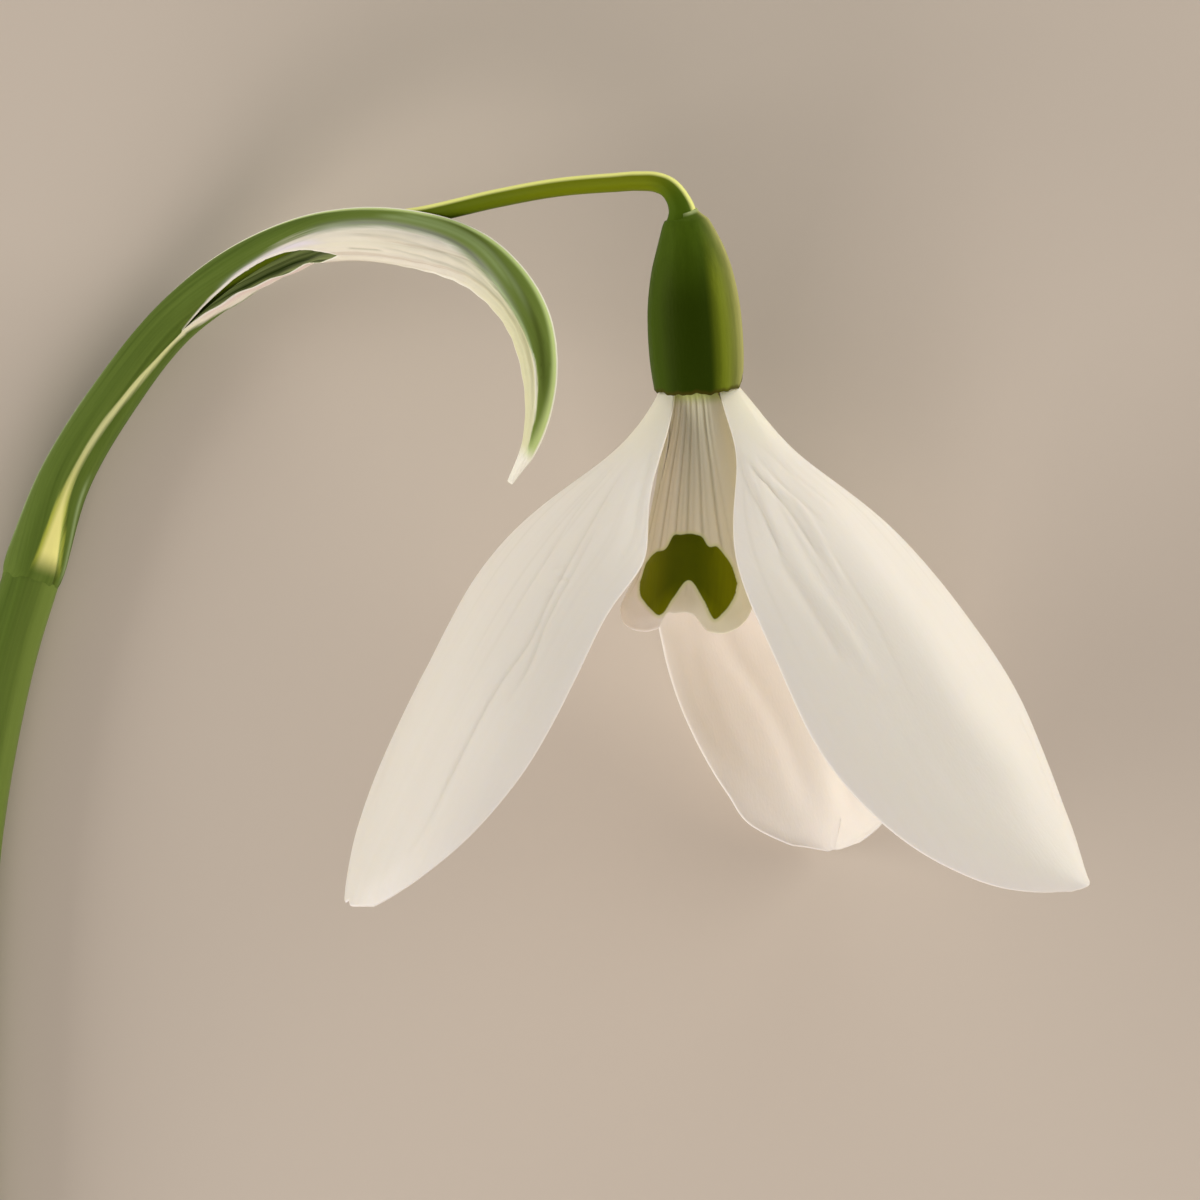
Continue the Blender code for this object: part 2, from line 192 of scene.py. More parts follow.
# The green mark on an inner tepal: its upper and lower outline, as distance from the claw, across the tepal.
MARK_TOP_AT = (-2.33, -2.2, -1.9, -1.5, -0.85, -0.62, -0.2, 0.45, 0.8, 1.0, 1.4, 1.75, 2.1, 2.36)
MARK_TOP = (8.3, 7.75, 7.3, 7.0, 6.72, 6.3, 6.2, 6.18, 6.34, 6.66, 6.7, 7.08, 7.6, 8.3)
MARK_FOOT_AT = (-2.33, -2.2, -1.9, -1.5, -1.1, -0.45, 0.22, 0.9, 1.46, 1.8, 2.12, 2.28, 2.36)
MARK_FOOT = (8.3, 8.75, 9.2, 9.6, 9.83, 9.06, 8.28, 9.16, 10.03, 9.72, 9.22, 8.8, 8.3)
OUTLINE_STEPS = 240
# How far the lower left lobe of an inner tepal is spread to the side, outward and along.
LOBE_SPREAD = (-0.42, -0.1, 0.05)
# The furrows' places across an inner tepal and their half width, how high its mark swells, and how far its
# outer skin lies under the plain one.
INNER_GROOVES = (-0.86, -0.68, -0.5, -0.36, -0.2, -0.1, 0.03, 0.14, 0.3, 0.42, 0.6, 0.79)
GROOVE_WIDTH = 0.065
MARK_SWELL = 0.05
INNER_SINK = 0.03

# Radius of the rings that close a turned body.
LEAST_RADIUS = 0.002

# The ovary's profile: height above its lower face and radius, from the collar down to the rim and its recess.
OVARY_PROFILE = (
    (7.85, 0.0), (7.85, 0.5), (7.90, 0.60), (8.0, 0.66), (7.99, 0.72), (7.88, 0.765), (7.72, 0.86),
    (7.4, 1.03), (7.1, 1.17), (6.1, 1.55), (5.1, 1.83), (3.8, 2.04), (2.6, 2.11), (1.4, 2.10), (0.5, 2.03),
    (0.05, 1.99), (-0.10, 1.97), (-0.13, 1.94), (-0.06, 1.925), (0.0, 1.91), (0.04, 1.6), (0.05, 0.0))
OVARY_LEAN = (-0.11, 0.0, 0.0)
# Waves round the ovary, each height, count and phase: its long ribs, as shares of its radius, its rim and
# its lip.
OVARY_RIBS = ((0.003, 12, 0.0), (0.006, 6, 0.6))
RIM_WAVES = ((0.03, 7, 1.0), (0.035, 13, 0.4), (0.02, 29, 2.0))
LIP_WAVES = ((0.012, 3, 1.0),)
# The lip at its top: how far it tilts to the right, hangs down and draws in at both sides.
LIP_TILT = 0.15
LIP_DROP = 0.16
LIP_PINCH = 0.2
# Azimuths at which the rim is notched and a tepal's claw shows, how deep the notches are, and how far the
# rim bows.
RIM_NOTCHES = (84, 205)
NOTCH_DEPTH = 0.3
RIM_BOW = 0.15
# The painted highlight down the ovary's right edge: its azimuth and how wide it is, in degrees.
HIGHLIGHT_AT = 82
HIGHLIGHT_WIDTH = 26

STAMEN_COUNT = 6
STAMEN_CIRCLE = 0.62
STAMEN_LEAN = 3.5
STAMEN_DROP = 0.05
STAMEN_PROFILE = (
    (0.0, 0.0), (0.0, 0.115), (-0.5, 0.11), (-1.05, 0.105), (-1.12, 0.16), (-1.3, 0.24), (-1.8, 0.272),
    (-2.4, 0.27), (-3.6, 0.23), (-4.6, 0.17), (-5.3, 0.10), (-5.65, 0.05), (-5.8, 0.0))
FILAMENT_END = 1.1
STYLE_PROFILE = ((0.0, 0.0), (0.0, 0.165), (-3.0, 0.155), (-5.5, 0.14), (-7.2, 0.10), (-7.62, 0.085),
                 (-7.7, 0.0))

# Routes, as offsets from the ovary's base in x and y, and height above the surface.
SCAPE_ROUTE = (
    (-30.7, -8.1, 1.39), (-31.8, -11.7, 1.38), (-32.6, -15.2, 1.38), (-33.4, -20.0, 1.38),
    (-33.9, -26.0, 1.38), (-34.2, -34.0, 1.38), (-34.3, -43.0, 1.38), (-34.0, -56.0, 1.38))
SPATHE_ROUTE = (
    (-30.65, -8.0, 1.39), (-29.2, -3.9, 1.39), (-26.75, 0.0, 1.40), (-23.8, 3.6, 1.60), (-20.2, 6.15, 2.9),
    (-16.6, 7.45, 4.9), (-13.0, 7.35, 7.1), (-9.5, 5.85, 8.8), (-7.45, 3.1, 9.7), (-6.95, 0.2, 9.9),
    (-7.5, -2.6, 9.6), (-8.4, -4.1, 9.2))
PEDICEL_ROUTE = (
    (-30.65, -7.8, 1.40), (-29.2, -4.0, 1.40), (-26.8, 0.0, 1.42), (-23.9, 3.55, 1.65), (-20.6, 6.1, 2.9),
    (-16.8, 7.6, 5.0), (-12.4, 8.1, 7.4), (-9.0, 8.75, 9.6), (-6.2, 9.1, 11.8), (-3.8, 9.2, 13.7),
    (-2.6, 9.21, 14.6), (-1.8, 9.1, 15.2), (-1.33, 8.86, 15.55), (-1.03, 8.53, 15.75), (-0.83, 8.2, 15.86),
    (-0.70, 7.9, 15.9), (-0.64, 7.6, 15.9), (-0.60, 7.35, 15.9))
SCAPE_RADIUS = 1.32
PEDICEL_RADIUS_AT = (0, 0.7, 0.9, 1)
PEDICEL_RADIUS = (0.46, 0.42, 0.43, 0.47)
# How far the pedicel's rings crowd towards the ovary.
PEDICEL_CROWDING = 1.4

# The spathe's section along its route: half width across the arch, half depth, half angle of the wall
# (180 would close it into a tube) and twist of the closed side up from the surface.
SECTION_AT = (0, 0.12, 0.3, 0.5, 0.7, 0.85, 0.95, 1)
SPATHE_HALF_WIDTH = (1.2, 1.1, 1.0, 1.12, 1.25, 1.0, 0.5, 0.15)
SPATHE_HALF_DEPTH = (1.31, 1.23, 1.22, 1.15, 1.1, 0.9, 0.5, 0.2)
SPATHE_WALL_ANGLE = (168, 160, 145, 128, 122, 118, 105, 95)
SPATHE_TWIST = (50, 45, 30, 18, 15, 15, 15, 15)
# How far the visible wall stands out from that section, on the arch's outer and inner side.
BULGE_AT = (0, 0.12, 0.2, 0.32, 0.42, 0.5, 0.56, 0.62, 0.7, 0.78, 0.88, 0.96, 1)
OUTER_BULGE = (0.16, 0.05, 0.12, 0.2, 0.26, 0.16, 0.02, -0.05, 0.1, 0.16, 0.08, 0.06, 0.1)
INNER_BULGE = (0.07, -0.12, -0.2, -0.22, 0.0, 0.05, 0.18, 0.27, 0.18, 0.0, -0.04, -0.04, 0.0)
# The spathe starts a little before its route does, a little narrower and so under the scape's skin, until the
# share of the route at which it has its full width.
SPATHE_START = -0.02
SPATHE_SINK = 0.09
SPATHE_SUNK_TO = -0.004
# The wall's thickness inside and at its free edges, and the lowest height of its middle.
SPATHE_FULL = 0.28
SPATHE_EDGE = 0.09
SPATHE_FLOOR = 0.19
# The slit in the spathe's inner curve, as angles of the section: the near edge and the far edge. Between its
# ends they are apart; elsewhere the wall is closed along the near edge's line. Its lips rise over the ramp.
SLIT_START = 0.318
SLIT_END = 0.548
SLIT_RAMP = 0.06
SLIT_AT = (0, 0.12, 0.18, 0.24, 0.28, 0.318, 0.36, 0.41, 0.455, 0.485, 0.51, 0.548, 0.62, 1)
SLIT_NEAR = (70, 74, 74, 66, 56, 55, 72, 84, 86, 80, 68, 34, 12, 8)
SLIT_FAR = (70, 74, 74, 66, 56, 55, 46, 34, 20, 8, 6, 34, 12, 8)
# Where the near keel's green ends, as an angle of the section.
KEEL_AT = (0, 0.12, 0.18, 0.23, 0.28, 0.318, 0.36, 0.41, 0.455, 0.485, 0.52, 0.56, 0.64, 0.69, 0.75, 0.80,
           0.84, 0.87, 0.92, 0.95, 0.965, 0.98, 1)
KEEL_ANGLE = (92, 83, 83, 75, 62, 57, 75, 89, 94, 96, 94, 92, 90, 87, 70, 62, 67, 75, 72, 74, 90, 150, 190)
# Where the far keel's green ends.
FAR_KEEL_AT = (0, 0.12, 0.18, 0.24, 0.28, 0.318, 0.36, 0.43, 0.5, 0.6, 0.9, 0.97, 1)
FAR_KEEL_NEAR = (26, 67, 66, 54, 46, 40, 16, -30, -45, -45, -42, -60, -90)
# How softly green gives way to membrane, in millimetres to each side of the border.
BLUR_AT = (0, 0.33, 0.42, 0.5, 0.6, 0.76, 0.84, 1)
KEEL_BLUR = (0.08, 0.05, 0.08, 0.26, 0.14, 0.16, 0.07, 0.06)
# Width of the pale rim along the spathe's upper free edge: partly its own pale margin, partly painted
# highlight.
RIM_AT = (0, 0.45, 0.6, 0.8, 0.95, 1)
RIM_WIDTH = (0.10, 0.2, 0.36, 0.42, 0.5, 0.4)
# Lines drawn on the spathe: (along, angle) points, half width, height and strength, by the field they add
# to. Angles are measured as on a section of the stroke radius.
STROKE_RADIUS = 1.2
SPATHE_STROKES = {
    "dark": (
        (((0.55, 101), (0.60, 98), (0.66, 96), (0.71, 91), (0.745, 81), (0.78, 72)), 0.07, -0.03, 0.95),
        (((0.62, 140), (0.67, 131), (0.71, 120), (0.75, 107), (0.79, 99), (0.84, 95), (0.93, 88)),
         0.13, 0.0, 0.6),
        (((0.52, 108), (0.58, 105), (0.64, 103)), 0.05, 0.0, 0.5),
        (((0.866, 84), (0.869, 98), (0.867, 114)), 0.045, -0.03, 0.6),
        (((0.877, 82), (0.881, 92), (0.879, 102)), 0.04, -0.025, 0.5),
        (((0.842, 86), (0.846, 96), (0.843, 108)), 0.035, -0.02, 0.4),
        (((-0.02, 28), (0.01, 36), (0.04, 46), (0.075, 56)), 0.07, -0.05, 1.0),
        (((0.56, 78), (0.62, 74), (0.70, 66), (0.78, 56)), 0.045, -0.02, 0.16),
        (((0.60, 56), (0.70, 46), (0.78, 50), (0.86, 50)), 0.05, -0.025, 0.2),
        (((0.565, 52), (0.59, 48), (0.62, 46)), 0.05, -0.03, 0.35)),
    "pale": (
        (((0.74, 80), (0.79, 69), (0.85, 71), (0.91, 69), (0.945, 68)), 0.06, 0.03, 0.9),
        # Pale lines on the keels along the arch, this one and the list's last: partly the keels' own pale
        # streaks, partly painted highlight.
        (((0.60, 112), (0.66, 110), (0.71, 106), (0.76, 95), (0.80, 86)), 0.10, 0.0, 0.4),
        (((0.30, 54), (0.34, 58), (0.375, 74), (0.42, 84)), 0.05, 0.0, 0.6),
        (((0.545, 18), (0.58, 10), (0.66, 6), (0.76, 4), (0.88, 3), (0.96, 4)), 0.09, 0.04, 0.95),
        # Painted highlight along the keel's edge near the base.
        (((-0.01, 10), (0.04, 18), (0.08, 28), (0.13, 34)), 0.13, 0.0, 0.5),
        (((-0.02, 169), (0.08, 170), (0.2, 171), (0.3, 171), (0.4, 168), (0.5, 160)), 0.2, 0.0, 0.7),
        (((0.62, 118), (0.68, 114), (0.73, 108), (0.78, 98), (0.83, 90)), 0.12, 0.0, 0.35)),
    "lilac": (
        (((0.50, 99), (0.56, 97), (0.62, 95), (0.68, 91), (0.73, 82), (0.79, 70), (0.84, 68)),
         0.17, 0.0, 0.8),
        (((0.38, 82), (0.42, 87), (0.46, 89), (0.51, 82), (0.55, 66)), 0.13, 0.02, 0.9)),
    "pink": ((((0.33, 46), (0.36, 42), (0.41, 28), (0.455, 14), (0.50, 2), (0.53, 14)), 0.3, 0.0, 0.9),),
}

# Cells across and along each mesh; the spathe's are across it above and below its slit, and along it.
OUTER_CELLS = (140, 220)
INNER_CELLS = (150, 120)
SPATHE_CELLS = (60, 52, 330)
STALK_CELLS = (40, 300)
# Rings that close each end of the scape and how deep the end's middle lies: under the spathe, and where it
# is cut.
SCAPE_ENDS = ((10, -0.2), (14, 0.12))
OVARY_CELLS = (160, 8)
STAMEN_CELLS = (28, 5)


# ---- Curves and fields ----


def smooth_curve(stations, values, at):
    """The smooth curve through the values given at the stations, read at every point of at."""
    s = np.array(stations, float)
    v = np.array(values, float)
    step = np.diff(s)
    weight = step if v.ndim == 1 else step[:, None]
    rise = np.diff(v, axis=0) / weight
    slope = np.empty_like(v)
    slope[0] = rise[0]
    slope[-1] = rise[-1]
    slope[1:-1] = (rise[:-1] * weight[1:] + rise[1:] * weight[:-1]) / (weight[1:] + weight[:-1])
    at = np.asarray(at, float)
    i = np.clip(np.searchsorted(s, at, side="right") - 1, 0, len(step) - 1)
    h = step[i]
    t = (at - s[i]) / h
    if v.ndim > 1:
        h = h[..., None]
        t = t[..., None]
    return ((2 * t**3 - 3 * t**2 + 1) * v[i] + (t**3 - 2 * t**2 + t) * h * slope[i]
            + (3 * t**2 - 2 * t**3) * v[i + 1] + (t**3 - t**2) * h * slope[i + 1])


def arc_stations(points):
    """Each point's share of the way along the route."""
    steps = np.linalg.norm(np.diff(points, axis=0), axis=1)
    return np.concatenate([[0.0], np.cumsum(steps)]) / steps.sum()


def unit(vectors):
    return vectors / np.maximum(np.linalg.norm(vectors, axis=-1, keepdims=True), 1e-9)


def joined(*parts):
    """Points from their x, y and z."""
    return np.stack(np.broadcast_arrays(*parts), -1)


def smooth_step(low, high, value):
    t = np.clip((value - low) / (high - low), 0, 1)
    return t * t * (3 - 2 * t)


def bump_at(centre, width, value):
    """A soft bump of height 1 at the centre."""
    return np.exp(-(((value - centre) / width) ** 2))


def wander(seed, count, at):
    """A slow random curve about 0, at most about 1, through that many values over 0 to 1."""
    values = np.random.default_rng(seed).uniform(-1, 1, count)
    return smooth_curve(np.linspace(0, 1, count), values, np.clip(at, 0, 1))


def flower_axes():
    """The flower's turn, and its origin: the middle of the ovary's lower face, as the frame has it."""
    upright = Matrix.Rotation(radians(FLOWER_TURN), 3, "Z")
    turn = np.array(upright @ Matrix.Rotation(radians(FLOWER_TILT - 90), 3, "X"))
    points = np.array([v.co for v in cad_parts["ovary"].data.vertices]) / MM
    local = points @ turn
    face = local[local[:, 2] < local[:, 2].min() + 0.01]
    middle = (face.min(axis=0) + face.max(axis=0)) / 2
    return turn, turn @ middle


TURN, OVARY_BASE = flower_axes()


def in_flower(points, azimuth=0.0):
    """Points of the flower's own frame, turned about its axis and set in place."""
    about = np.array(Matrix.Rotation(radians(azimuth), 3, "Z"))
    return points @ about.T @ TURN.T + OVARY_BASE


# ---- Meshes ----


def add_mesh(name, points, faces, fields):
    """A mesh object from points in millimetres, with fields that its finish reads."""
    mesh = bpy.data.meshes.new(name)
    mesh.from_pydata((points * MM).tolist(), [], faces)
    for key, values in fields.items():
        kind, part = ("FLOAT_VECTOR", "vector") if values.ndim == 2 else ("FLOAT", "value")
        mesh.attributes.new(key, kind, "POINT").data.foreach_set(part, values.astype(np.float32).ravel())
    mesh.update()
    mesh.shade_smooth()
    item = bpy.data.objects.new(name, mesh)
    bpy.context.scene.collection.objects.link(item)
    return item


def grid_normals(points):
    """Normals of a grid of points, from its rows and columns."""
    return unit(np.cross(np.gradient(points, axis=1), np.gradient(points, axis=0)))


def grid_cells(index):
    """The four corners of every cell of a grid, from the grid's point numbers."""
    return np.stack([index[:-1, :-1], index[:-1, 1:], index[1:, 1:], index[1:, :-1]], -1)


def shared_fields(fields, pick):
    """Each field of a grid, laid out for the mesh's points by pick, which gets one row per grid point."""
    shared = {}
    for key, values in fields.items():
        picked = pick(values.reshape(values.shape[0] * values.shape[1], -1))
        shared[key] = picked if values.ndim == 3 else picked[:, 0]
    return shared


def add_sheet(name, middle, normals, above, below, fields, slit=None):
    """A thin closed body: a skin above and one below the middle surface, joined round a rounded edge.

    The middle surface is a grid of points. The skins lie at the distances above and below along the normals.
    slit is (column, rows that are open): that column and the next are one line except in the open rows.
    """
    rows, columns = middle.shape[:2]
    index = np.arange(rows * columns).reshape(rows, columns)
    if slit is not None:
        column, is_open = slit
        index[~is_open, column + 1] = index[~is_open, column]
    corners = grid_cells(index)
    if slit is not None:
        corners = np.delete(corners, slit[0], axis=1)
    used, top = np.unique(corners.reshape(-1, 4), return_inverse=True)
    top = top.reshape(-1, 4)
    count = len(used)
    place = middle.reshape(-1, 3)[used]
    normal = normals.reshape(-1, 3)[used]
    high = above.ravel()[used]
    low = below.ravel()[used]
    start = top.ravel()
    end = np.roll(top, -1, axis=1).ravel()
    free = ~np.isin(start * count + end, end * count + start)
    start = start[free]
    end = end[free]
    out = np.zeros((count, 3))
    sideways = np.cross(place[end] - place[start], (normal[start] + normal[end]) / 2)
    np.add.at(out, start, unit(sideways))
    np.add.at(out, end, unit(sideways))
    border = np.unique(start)
    nose = np.zeros(count, int)
    nose[border] = np.arange(len(border)) + 2 * count
    nose_points = place[border] + normal[border] * ((high - low) / 2)[border, None]
    nose_points += unit(out[border]) * ((high + low) / 2)[border, None]
    points = np.concatenate([place + normal * high[:, None], place - normal * low[:, None], nose_points])
    rim_top = np.stack([end, start, nose[start], nose[end]], -1)
    rim_low = np.stack([nose[end], nose[start], start + count, end + count], -1)
    faces = np.concatenate([top, top[:, ::-1] + count, rim_top, rim_low])
    shared = shared_fields(fields, lambda flat: np.concatenate([flat[used], flat[used], flat[used][border]]))
    shared["inside"] = np.concatenate([np.zeros(count), np.ones(count), np.full(len(border), 0.5)])
    return add_mesh(name, points, faces.tolist(), shared)


def add_round(name, rings, fields):
    """A closed body from rings of points, ordered along it, with a point closing each end."""
    rows, around = rings.shape[:2]
    first_pole = rows * around
    index = np.arange(first_pole).reshape(rows, around)
    right = np.roll(index, -1, axis=1)
    faces = np.stack([index[:-1], right[:-1], right[1:], index[1:]], -1).reshape(-1, 4).tolist()
    faces += np.stack([right[0], index[0], np.full(around, first_pole)], -1).tolist()
    faces += np.stack([index[-1], right[-1], np.full(around, first_pole + 1)], -1).tolist()

    def with_poles(flat):
        return np.concatenate([flat, [flat[:around].mean(axis=0), flat[-around:].mean(axis=0)]])

    return add_mesh(name, with_poles(rings.reshape(-1, 3)), faces, shared_fields(fields, with_poles))


def settle(piece, node, finish):
    """Gives a finished piece its material and its place in the frame."""
    piece.data.materials.append(finish)
    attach(piece, BODY)
    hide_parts(node)


# ---- Shader building ----


class Wiring:
    """Adds nodes to one node tree and joins them."""

    def __init__(self, tree):
        self.tree = tree

    def add(self, kind, inputs=None, **settings):
        node = self.tree.nodes.new(kind)
        for key, value in settings.items():
            setattr(node, key, value)
        for key, value in (inputs or {}).items():
            self.feed(node.inputs[key], value)
        return node

    def feed(self, socket, value):
        """Joins a socket to another node's output, or sets its own value."""
        if isinstance(value, bpy.types.NodeSocket):
            self.tree.links.new(value, socket)
        elif socket.type == "RGBA" and len(value) == 3:
            socket.default_value = (*value, 1.0)
        else:
            socket.default_value = value

    def fields(self, *names):
        return [self.add("ShaderNodeAttribute", attribute_name=name).outputs["Fac"] for name in names]

    def grain(self):
        return self.add("ShaderNodeAttribute", attribute_name="grain").outputs["Vector"]

    def math(self, operation, first, second=0.0):
        return self.add("ShaderNodeMath", {0: first, 1: second}, operation=operation).outputs[0]

    def times(self, first, second):
        return self.math("MULTIPLY", first, second)

    def plus(self, first, second):
        return self.math("ADD", first, second)

    def most(self, first, second):
        return self.math("MAXIMUM", first, second)

    def ramp(self, value, low, high, start=0.0, end=1.0):
        """The value's smooth way from low to high, as a number from start to end."""
        inputs = {"Value": value, "From Min": low, "From Max": high, "To Min": start, "To Max": end}
        return self.add("ShaderNodeMapRange", inputs, interpolation_type="SMOOTHSTEP").outputs["Result"]

    def layered(self, base, *layers):
        """The base colour under layers of (mask, colour) or (mask, strength, colour), the last one on top."""
        for *mask, colour in layers:
            share = mask[0] if len(mask) == 1 else self.times(*mask)
            base = self.add("ShaderNodeMix", {0: share, 6: base, 7: colour}, data_type="RGBA").outputs[2]
        return base

    def stretched_grain(self, across, along):
        """The grain field as a place for a texture: so fine across the tissue and along it."""
        parts = self.add("ShaderNodeSeparateXYZ", {0: self.grain()}).outputs
        place = [self.times(part, finer) for part, finer in zip(parts, (across, across, along))]
        return self.add("ShaderNodeCombineXYZ", dict(enumerate(place))).outputs[0]


def new_group(name, inputs, outputs):
    """An empty shader group with number inputs, given as name: (default, description), and number outputs."""
    tree = bpy.data.node_groups.new(name, "ShaderNodeTree")
    for key, (default, description) in inputs.items():
        socket = tree.interface.new_socket(key, in_out="INPUT", socket_type="NodeSocketFloat")
        socket.default_value = default
        socket.description = description
    for key in outputs:
        tree.interface.new_socket(key, in_out="OUTPUT", socket_type="NodeSocketFloat")
    wiring = Wiring(tree)
    return tree, wiring, wiring.add("NodeGroupInput").outputs, wiring.add("NodeGroupOutput").inputs


def streak_group():
    """Long streaks that run with the tissue, from the piece's own grain field."""
    tree, w, given, out = new_group(
        "Tissue streaks",
        {"Fineness": (3.0, "Streaks per millimetre"), "Length": (0.05, "How short the streaks are"),
         "Seed": (0.0, "Another pattern"), "Contrast": (1.0, "How far apart light and dark are")},
        ["Streaks"])
    place = w.stretched_grain(given["Fineness"], w.times(given["Length"], given["Fineness"]))
    inputs = {"Vector": place, "W": given["Seed"], "Scale": 1.0, "Detail": 3.0, "Roughness": 0.6}
    noise = w.add("ShaderNodeTexNoise", inputs, noise_dimensions="4D").outputs["Fac"]
    centred = w.times(w.math("SUBTRACT", noise, 0.5), given["Contrast"])
    w.feed(out["Streaks"], w.add("ShaderNodeClamp", {0: w.plus(centred, 0.5)}).outputs[0])
    return tree


def skin_group():
    """The relief of the living skin: rows of long cells and a faint unevenness."""
    tree, w, given, out = new_group(
        "Plant skin",
        {"Cells": (14.0, "Cells per millimetre across the tissue"),
         "Unevenness": (0.3, "Share of the slow relief")},
        ["Height", "Gloss"])
    place = w.stretched_grain(given["Cells"], w.times(given["Cells"], 0.3))
    cells = w.add("ShaderNodeTexVoronoi", {"Vector": place, "Scale": 1.0}, feature="F1").outputs["Distance"]
    slow = w.add("ShaderNodeTexNoise", {"Vector": place, "Scale": 0.09, "Detail": 2.0}).outputs["Fac"]
    swell = w.times(slow, w.times(given["Unevenness"], 8.0))
    w.feed(out["Height"], w.plus(w.math("SUBTRACT", 1.0, cells), swell))
    w.feed(out["Gloss"], w.plus(w.times(slow, 0.7), w.times(cells, 0.3)))
    return tree


def boundary_group():
    """A crisp but soft-edged border where a distance field crosses a level."""
    tree, w, given, out = new_group(
        "Soft border",
        {"Distance": (0.0, "Distance field in millimetres"), "Level": (0.0, "Where the border lies"),
         "Blur": (0.05, "Half width of the soft edge")},
        ["Mask"])
    low = w.math("SUBTRACT", given["Level"], given["Blur"])
    w.feed(out["Mask"], w.ramp(given["Distance"], low, w.plus(given["Level"], given["Blur"])))
    return tree


GROUPS = {"Tissue streaks": streak_group, "Plant skin": skin_group, "Soft border": boundary_group}
WHITE = (1.0, 1.0, 1.0)
SCATTER = (1.0, 0.85, 0.6)
# Height of the cell relief, in metres.
PETAL_RELIEF = 0.000004
GREEN_RELIEF = 0.000006
ANTHER_RELIEF = 0.000008


class Finish(Wiring):
    """A material with one Principled shader, and the shared groups at hand."""

    def __init__(self, name, roughness=0.45, specular=0.5, subsurface=0.0, depth=0.0006, gleam=WHITE):
        self.material = bpy.data.materials.new(name)
        self.material.use_nodes = True
        super().__init__(self.material.node_tree)
        self.shader = self.tree.nodes["Principled BSDF"].inputs
        settings = {"Roughness": roughness, "Specular IOR Level": specular, "Subsurface Weight": subsurface,
                    "Subsurface Radius": SCATTER, "Subsurface Scale": depth, "Specular Tint": (*gleam, 1.0)}
        for key, value in settings.items():
            self.shader[key].default_value = value

    def shared(self, name, **inputs):
        """The named group's outputs; the group is made the first time that a material asks for it."""
        tree = bpy.data.node_groups.get(name) or GROUPS[name]()
        return self.add("ShaderNodeGroup", inputs, node_tree=tree).outputs

    def streaks(self, fineness, length, seed, contrast):
        made = self.shared("Tissue streaks", Fineness=fineness, Length=length, Seed=seed, Contrast=contrast)
        return made["Streaks"]

    def border(self, distance, level, blur):
        return self.shared("Soft border", Distance=distance, Level=level, Blur=blur)["Mask"]

    def skin(self, cells, relief, *gloss):
        """Cell relief on the normal, relief metres high, and gloss that varies between two roughnesses."""
        made = self.shared("Plant skin", Cells=cells, Unevenness=0.3)
        bump = self.add("ShaderNodeBump", {"Height": made["Height"], "Distance": relief, "Strength": 1.0})
        self.feed(self.shader["Normal"], bump.outputs["Normal"])
        self.feed(self.shader["Roughness"], self.ramp(made["Gloss"], 0.2, 0.8, *gloss))

    def colour(self, base, *layers):
        self.feed(self.shader["Base Color"], self.layered(base, *layers))
        return self.material


def tinted(colour, factor):
    """The colour, lighter or darker by a factor."""
    return tuple(min(1.0, part * factor) for part in colour)


# ---- Tepals ----


def tepal_line(shape, base_radius, drop, u):
    """A tepal's middle line at azimuth 0, with its sideways and outward directions."""
    fine = np.linspace(0, 1, LINE_STEPS + 1)
    lean = np.radians(smooth_curve(LEAN_AT, shape["lean"], fine))
    sway = np.radians(smooth_curve(SWAY_AT, shape["sway"], fine))
    heading = joined(np.sin(sway), -np.sin(lean) * np.cos(sway), -np.cos(lean) * np.cos(sway))
    middle = (heading[1:] + heading[:-1]) / 2 * shape["length"] / LINE_STEPS
    line = np.concatenate([np.zeros((1, 3)), np.cumsum(middle, axis=0)]) + (0, -base_radius, -drop)
    at = joined(*(np.interp(u, fine, line[:, k]) for k in range(3)))
    along = unit(joined(*(np.interp(u, fine, heading[:, k]) for k in range(3))))
    at += along * (np.minimum(u, 0) * shape["length"])[..., None]
    side = unit(np.array([1.0, 0, 0]) - along * along[..., :1])
    outward = np.cross(along, side)
    outward *= np.sign(-outward[..., 1:2] + 1e-9)
    roll = np.radians(smooth_curve(ROLL_AT, shape["roll"], u))[..., None]
    return at, side * np.cos(roll) + outward * np.sin(roll), outward * np.cos(roll) - side * np.sin(roll)


def reach_across(shape, across, u):
    """How far each point lies from the tepal's middle line, and the tepal's half width on that side."""
    half_width = smooth_curve(WIDTH_AT, shape["width"], u)
    left = smooth_curve(EDGE_AT, shape["left"], u)
    right = smooth_curve(EDGE_AT, shape["right"], u)
    half_width = half_width + np.where(across < 0, left, right)
    return across * half_width, half_width


def edge_distance(shape, side, u, tip):
    """How far each point lies from the tepal's nearest edge."""
    left, right = (reach_across(shape, np.full_like(u, end), u)[1] for end in (-1, 1))
    return np.minimum(np.minimum(right - side, side + left), shape["length"] * (tip - u))


def tepal_points(shape, base_radius, drop, reach, u):
    """Points of a hollow tepal: a circular arc across at every point of its middle line."""
    at, side, outward = tepal_line(shape, base_radius, drop, u)
    cup = np.radians(smooth_curve(CUP_AT, shape["cup"], u))
    radius = (smooth_curve(WIDTH_AT, shape["width"], u) / cup)[..., None]
    angle = reach[..., None] / radius
    return at + radius * np.sin(angle) * side - radius * (1 - np.cos(angle)) * outward


def cell_grid(cells, crowding=1.0):
    """Shares across (1..-1) and along (from the claw's start to 1) of a grid whose normals face out.

    Crowding above 1 brings rows closer at the tip.
    """
    across = np.linspace(1, -1, cells[0] + 1)
    along = CLAW_START + (1 - CLAW_START) * (1 - (1 - np.linspace(0, 1, cells[1] + 1)) ** crowding)
    return np.meshgrid(across, along)


